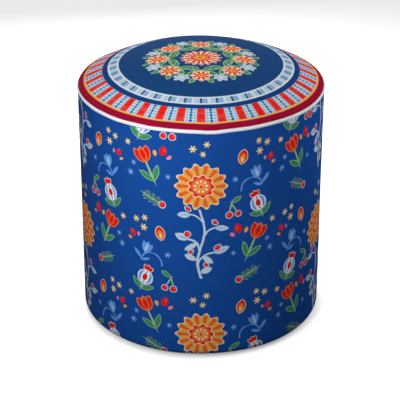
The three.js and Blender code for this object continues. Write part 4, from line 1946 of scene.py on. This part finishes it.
@dataclass
class Screw:
    """A countersunk screw with a cross recess and a thread, driven upwards or downwards."""

    kind: ScrewKind
    node: str  # the frame's node that it stands for
    upward: bool  # whether its point is above its head
    segments: int = 24  # steps round the head

    def head(self, mesh: BMesh) -> list[BMEdge]:
        """Shapes the head's face with its cross recess.

        Args:
            mesh: The mesh that it is made in.

        Returns:
            The edges of the head's rim.
        """
        size = self.kind.value
        arm, web = size.head * 0.52, size.head * 0.15
        grid = bmesh.ops.create_grid(mesh, x_segments=3, y_segments=3, size=1.0)["verts"]
        for vert in grid:
            for axis in (0, 1):
                vert.co[axis] = math.copysign(arm if abs(vert.co[axis]) > 0.5 else web, vert.co[axis])
        corners = [vert for vert in grid if min(abs(vert.co.x), abs(vert.co.y)) > web * 2.0]
        bmesh.ops.delete(mesh, geom=corners, context="VERTS")
        border = [edge for edge in mesh.edges if edge.is_boundary]
        bmesh.ops.subdivide_edges(mesh, edges=border, cuts=1)
        border = [edge for edge in mesh.edges if edge.is_boundary]
        rim = bmesh.ops.create_circle(mesh, segments=self.segments, radius=size.head)["verts"]
        rim_edges = list({edge for vert in rim for edge in vert.link_edges})
        bmesh.ops.bridge_loops(mesh, edges=border + rim_edges)
        cross = [
            face for face in mesh.faces
            if face.calc_center_median().length < arm
            and all(min(abs(v.co.x), abs(v.co.y)) <= web + WELD and v not in rim for v in face.verts)
        ]
        sunk = bmesh.ops.extrude_face_region(mesh, geom=cross)["geom"]
        bmesh.ops.delete(mesh, geom=cross, context="FACES_ONLY")
        deep = [part for part in sunk if isinstance(part, BMVert)]
        bmesh.ops.translate(mesh, verts=deep, vec=(0.0, 0.0, -size.head_depth * 0.75))
        bmesh.ops.scale(mesh, verts=deep, vec=(0.55, 0.55, 1.0))
        return rim_edges

    def shape(self) -> BMesh:
        """Shapes the screw with its head's face at the origin and its point below.

        Returns:
            The mesh.
        """
        size = self.kind.value
        mesh = bmesh.new()
        edges = self.head(mesh)
        point = size.length * 0.12
        root = size.shank * 0.72
        for radius, height in (
            (size.shank, size.head_depth),
            (size.shank, size.length * 0.35),
            (root, size.length * 0.37),
            (root, size.length - point),
            (root * 0.12, size.length),
        ):
            grown = bmesh.ops.extrude_edge_only(mesh, edges=edges)["geom"]
            verts = [part for part in grown if isinstance(part, BMVert)]
            edges = [part for part in grown if isinstance(part, BMEdge)]
            was = verts[0].co.xy.length
            bmesh.ops.scale(mesh, verts=verts, vec=(radius / was, radius / was, 1.0))
            for vert in verts:
                vert.co.z = -height
        bmesh.ops.edgeloop_fill(mesh, edges=edges)
        self.thread(mesh, root, size.length * 0.38, size.length - point)
        bmesh.ops.recalc_face_normals(mesh, faces=mesh.faces[:])
        return mesh

    def thread(self, mesh: BMesh, root: float, start: float, end: float) -> None:
        """Winds the thread round the shank.

        Args:
            mesh: The mesh that it is made in.
            root: The radius of the thread's foot.
            start: Where it starts, below the head's face.
            end: Where it ends.
        """
        size = self.kind.value
        turns = (end - start) / size.pitch
        half = size.pitch * 0.22
        feet = [(root * 0.9, -start + half), (size.shank, -start), (root * 0.9, -start - half)]
        verts = [mesh.verts.new((radius, 0.0, height)) for radius, height in feet]
        ridge = [mesh.edges.new((verts[0], verts[1])), mesh.edges.new((verts[1], verts[2]))]
        steps = max(8, round(turns * 12))
        bmesh.ops.spin(
            mesh, geom=[*verts, *ridge], cent=(0.0, 0.0, 0.0), axis=(0.0, 0.0, 1.0),
            dvec=(0.0, 0.0, (start - end) / steps), angle=FULL_TURN * turns, steps=steps,
            use_duplicate=False,
        )

    def build(self, finish: Material) -> None:
        """Builds the screw where its node is.

        Args:
            finish: The plated steel.
        """
        low, high, middle = node_box(self.node)
        mesh = self.shape()
        if self.upward:
            bmesh.ops.rotate(mesh, verts=mesh.verts[:], matrix=Matrix.Rotation(math.pi, 3, "X"))
        foot = low.z if self.upward else high.z
        bmesh.ops.translate(mesh, verts=mesh.verts[:], vec=(middle.x, middle.y, foot))
        made = piece(f"{self.node}_threaded", mesh, finish, [self.node])
        sharpen(made)


@dataclass
class Underside:
    """What closes and carries the stool below: lining, staples, glides and their screws."""

    drum: Drum
    staples: int = 36  # staples that hold the lining
    # a staple's length, width and thickness
    staple: tuple[float, float, float] = (0.0100, 0.0012, 0.0006)
    glides: int = 4  # glides that carry the stool
    fold_drop: float = 0.0002  # how much lower than its node the folded edge hangs
    folded: float = 0.010  # how much of the lining's edge is turned under
    staple_inset: float = 0.0055  # from the lining's edge to the staples
    pucker: float = 0.00025  # how high the lining puckers between the staples
    pucker_inset: float = 0.014  # from its edge to the middle of the puckers
    pucker_width: float = 0.012  # how far the puckers reach from there
    sag: float = 0.0009  # how high its unevenness is inside the glides

    def lining(self, finish: Material) -> None:
        """Builds the lining, its edge turned under.

        Args:
            finish: The spun lining.
        """
        drum = self.drum
        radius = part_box("dust_cover")[1][0]
        fold = radius - self.folded
        flat, low = drum.dust_bottom + 0.5 * self.fold_drop, drum.dust_bottom - self.fold_drop
        outline = Outline(0.0, flat)
        outline.line(fold, flat, cuts=22).line(fold + 0.0012, low)
        outline.line(radius - 0.0003, low, cuts=2).line(radius, flat)
        mesh = outline.turned(steps=180)
        flipped = [face for face in mesh.faces if face.normal.z > 0.5]
        if len(flipped) > len(mesh.faces) / 2:
            bmesh.ops.reverse_faces(mesh, faces=mesh.faces[:])
        map_round(mesh, radius)
        glide_r = node_box("glide_1")[2].xy.length

        def puckering(co: Vector, run: float) -> Vector:
            """Lets the lining pucker between its staples, and lie flat at the glides.

            Args:
                co: The point.
                run: Its place along the section, which is not used here.

            Returns:
                Its move.
            """
            reach = co.xy.length
            angle = math.atan2(co.y, co.x)
            pull = abs(math.sin(angle * self.staples / 2.0))
            edge = max(0.0, 1.0 - abs(reach - (radius - self.pucker_inset)) / self.pucker_width)
            inside = min(1.0, max(0.0, (glide_r - 0.02 - reach) / 0.03))
            up = self.pucker * edge * pull
            up += self.sag * inside * (noise.noise(co * 14.0) + 0.35)
            return raised(up)

        settle(mesh, puckering)
        made = piece("base_lining", mesh, finish, ["dust_cover"])
        thicken(made, drum.dust_cloth * 0.8)

    def staple_row(self, finish: Material) -> None:
        """Builds the staples round the lining.

        Args:
            finish: The plated steel.
        """
        mesh = bmesh.new()
        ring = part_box("dust_cover")[1][0] - self.staple_inset
        long, wide, thick = self.staple
        for number in range(self.staples):
            angle = FULL_TURN * (number + 0.5) / self.staples
            skew = 0.16 * noise.noise(Vector((number * 1.7, 0.4, 0.0)))
            place = (
                Matrix.Rotation(angle, 4, "Z")
                @ Matrix.Translation((ring, 0.0, self.drum.dust_bottom - self.fold_drop - thick * 0.35))
                @ Matrix.Rotation(math.pi / 2.0 + skew, 4, "Z")
                @ Matrix.Diagonal((long, wide, thick, 1.0))
            )
            bmesh.ops.create_cube(mesh, size=1.0, matrix=place)
        bmesh.ops.bevel(
            mesh, geom=mesh.edges[:], offset=thick * 0.3, offset_type="OFFSET", affect="EDGES",
            segments=1, profile=0.5, material=-1,
        )
        piece("lining_staples", mesh, finish)

    def glide(self, number: int, finish: Material) -> None:
        """Builds one moulded glide.

        Args:
            number: Which glide it is, from 1.
            finish: The nylon.
        """
        node = f"glide_{number}"
        low, high, middle = node_box(node)
        radius = (high.x - low.x) / 2.0
        top = high.z
        foot, bore, sink = radius - 0.0025, 0.00205, 0.0037
        outline = Outline(sink, 0.0)
        outline.line(foot, 0.0, cuts=2, soften=0.0008).line(radius, 0.0015, soften=0.0007)
        outline.line(radius, top, soften=0.0003).line(bore, top)
        outline.line(bore, 0.0028).line(sink, 0.0011).line(sink, 0.0001)
        outline.close()
        mesh = outline.turned(steps=56)
        bmesh.ops.translate(mesh, verts=mesh.verts[:], vec=(middle.x, middle.y, 0.0))
        made = piece(f"{node}_moulded", mesh, finish, [node])
        sharpen(made)


@dataclass
class Carcass:
    """The timber frame, which keeps the frame's own meshes and gets its finishes."""

    finishes: Mapping[str, Material]  # each by the start of its nodes' names

    def dress(self) -> None:
        """Gives each node of the frame its finish."""
        for start, finish in self.finishes.items():
            for name, made in FRAME["nodes"].items():
                if name.startswith(start):
                    made.data.materials.clear()
                    made.data.materials.append(finish)
                    LOG.info("%s: %s", name, finish.name)


# The studio


@dataclass(frozen=True)
class Lamp:
    """A soft lamp that faces the stool."""

    name: str
    place: tuple[float, float, float]  # where it hangs
    power: float  # its power in watts
    size: float  # how wide it is
    aim: tuple[float, float, float] = (0.0, 0.0, 0.25)  # what it faces

    def hang(self) -> None:
        """Hangs the lamp."""
        data = bpy.data.lights.new(self.name, "AREA")
        data.energy = self.power
        data.size = self.size
        made = added(self.name, data)
        made.location = self.place
        towards = Vector(self.aim) - Vector(self.place)
        made.rotation_euler = towards.to_track_quat("-Z", "Y").to_euler()


@dataclass
class Studio:
    """The plain pale floor, the soft lights and the camera."""

    eye: tuple[float, float, float] = (-0.0017, -2.457, 1.386)  # where the camera stands
    pitch: float = 25.8  # how far below level it looks, in degrees
    focal_px: float = 1543.0  # its focal length, in pixels of a picture as wide as image_px
    image_px: float = 400.0
    sensor: float = 36.0  # the camera's sensor width in millimetres
    floor_reach: float = 9.0  # how far the floor reaches
    floor_bounce: Rgb = (0.03, 0.03, 0.03)  # the floor's colour as it lights the stool
    floor_glow: Rgb = (0.7, 0.7, 0.7)  # what makes the floor look white, but for its deepest shadow
    contact_reach: float = 0.024  # how far from the stool the contact shadow reaches
    contact_depth: float = 0.6  # how dark the contact shadow is
    all_round: float = 0.05  # how strong the light from all round is
    # each lamp's name, place, power and size
    lamps: tuple[Lamp, ...] = (
        Lamp("key", (-0.28, -0.72, 0.52), 4.7, 0.45),
        Lamp("fill", (0.62, -0.13, 0.56), 2.0, 0.5),
        Lamp("top", (-0.22, 0.13, 1.31), 6.2, 0.8),
        Lamp("back", (-0.2, 1.3, 0.8), 8.0, 0.8),
    )

    def camera(self) -> None:
        """Sets up the camera at the photograph's viewing angle."""
        data = bpy.data.cameras.new("camera")
        data.sensor_width = self.sensor
        data.sensor_fit = "HORIZONTAL"
        data.lens = self.focal_px / self.image_px * self.sensor
        made = added("camera", data)
        made.location = self.eye
        made.rotation_euler = (math.radians(90.0 - self.pitch), 0.0, 0.0)
        bpy.context.scene.camera = made

    def world(self) -> None:
        """Lights the scene evenly, with a white background behind it."""
        made = bpy.data.worlds.new("studio")
        bpy.context.scene.world = made
        shader = Shader("studio", made)
        level = shader.seen() * (1.0 - self.all_round) + self.all_round
        back = shader.node("ShaderNodeBackground", {}, {"Color": (1.0, 1.0, 1.0), "Strength": level})
        shader.node("ShaderNodeOutputWorld", {}, {"Surface": back.outputs[0]})

    def floor(self) -> None:
        """Lays the floor: it looks white, and keeps the shadow close under the stool."""
        shader = Shader("studio_floor")
        near = {"Distance": self.contact_reach}
        open_sky = Value(shader, shader.node("ShaderNodeAmbientOcclusion", {}, near).outputs["AO"])
        lit = shader.seen() * (open_sky * self.contact_depth + (1.0 - self.contact_depth))
        inputs = {
            "Base Color": Paint(shader, self.floor_bounce).over(lit, (1.0, 1.0, 1.0)),
            "Emission Color": Paint(shader, (0.0, 0.0, 0.0)).over(lit, self.floor_glow),
            "Emission Strength": 1.0,
            "Roughness": 1.0,
            "Specular IOR Level": 0.0,
        }
        surface = shader.node("ShaderNodeBsdfPrincipled", {}, inputs)
        shader.node("ShaderNodeOutputMaterial", {}, {"Surface": surface.outputs[0]})
        mesh = bmesh.new()
        bmesh.ops.create_grid(mesh, x_segments=4, y_segments=4, size=self.floor_reach)
        made = meshed("studio_floor", mesh, shader.owner)

    def build(self) -> None:
        """Builds the whole studio."""
        self.camera()
        self.floor()
        self.world()
        for lamp in self.lamps:
            lamp.hang()
        bpy.context.scene.view_settings.view_transform = "Standard"


def main() -> None:
    """Builds the stool and the studio, and reports each piece."""
    logging.basicConfig(level=logging.INFO, format="%(message)s")
    Studio().build()
    drum = Drum()
    waver = SeamWaver()
    batting = Batting().make("wadding")
    steel = ZincSteel().make("zinc_steel")
    nylon = Nylon().make("glide_nylon")
    plywood = Plywood().make("birch_plywood")

    seat = SeatTop(drum, waver)
    seat.panel(SeatPrint(drum.side_radius * MM_PER_M).make("seat_cloth"))
    seat.wadding(batting)
    seat.foam(OpenFoam().make("foam"))

    piping = SeatPiping(drum, waver)
    bias = Weave(thread_mm=0.55, relief=0.00012, slub=0.07, turn=45.0)
    piping.strip(PlainCloth(srgb(226, 229, 235), bias).make("piping_cotton"))
    piping.cord(CottonCord().make("cord_cotton"))

    side = SidePanel(drum, waver)
    around_mm = FULL_TURN * drum.side_radius * MM_PER_M
    side.cloth(SidePrint(around_mm, drum.side_run * MM_PER_M).make("side_cloth"))
    side.wadding(batting)

    below = Underside(drum)
    below.lining(SpunLining().make("black_lining"))
    below.staple_row(steel)
    for number in range(1, below.glides + 1):
        below.glide(number, nylon)
        Screw(ScrewKind.GLIDE, f"glide_screw_{number}", upward=True).build(steel)
    for number in range(1, 7):
        Screw(ScrewKind.FRAME, f"base_screw_{number}", upward=True).build(steel)
        Screw(ScrewKind.FRAME, f"seat_screw_{number}", upward=False).build(steel)

    Carcass(
        {
            "base_board": plywood,
            "seat_board": plywood,
            "post_": Pine().make("pine"),
            "drum_wall": Hardboard().make("hardboard"),
        }
    ).dress()


if __name__ == "__main__":
    main()
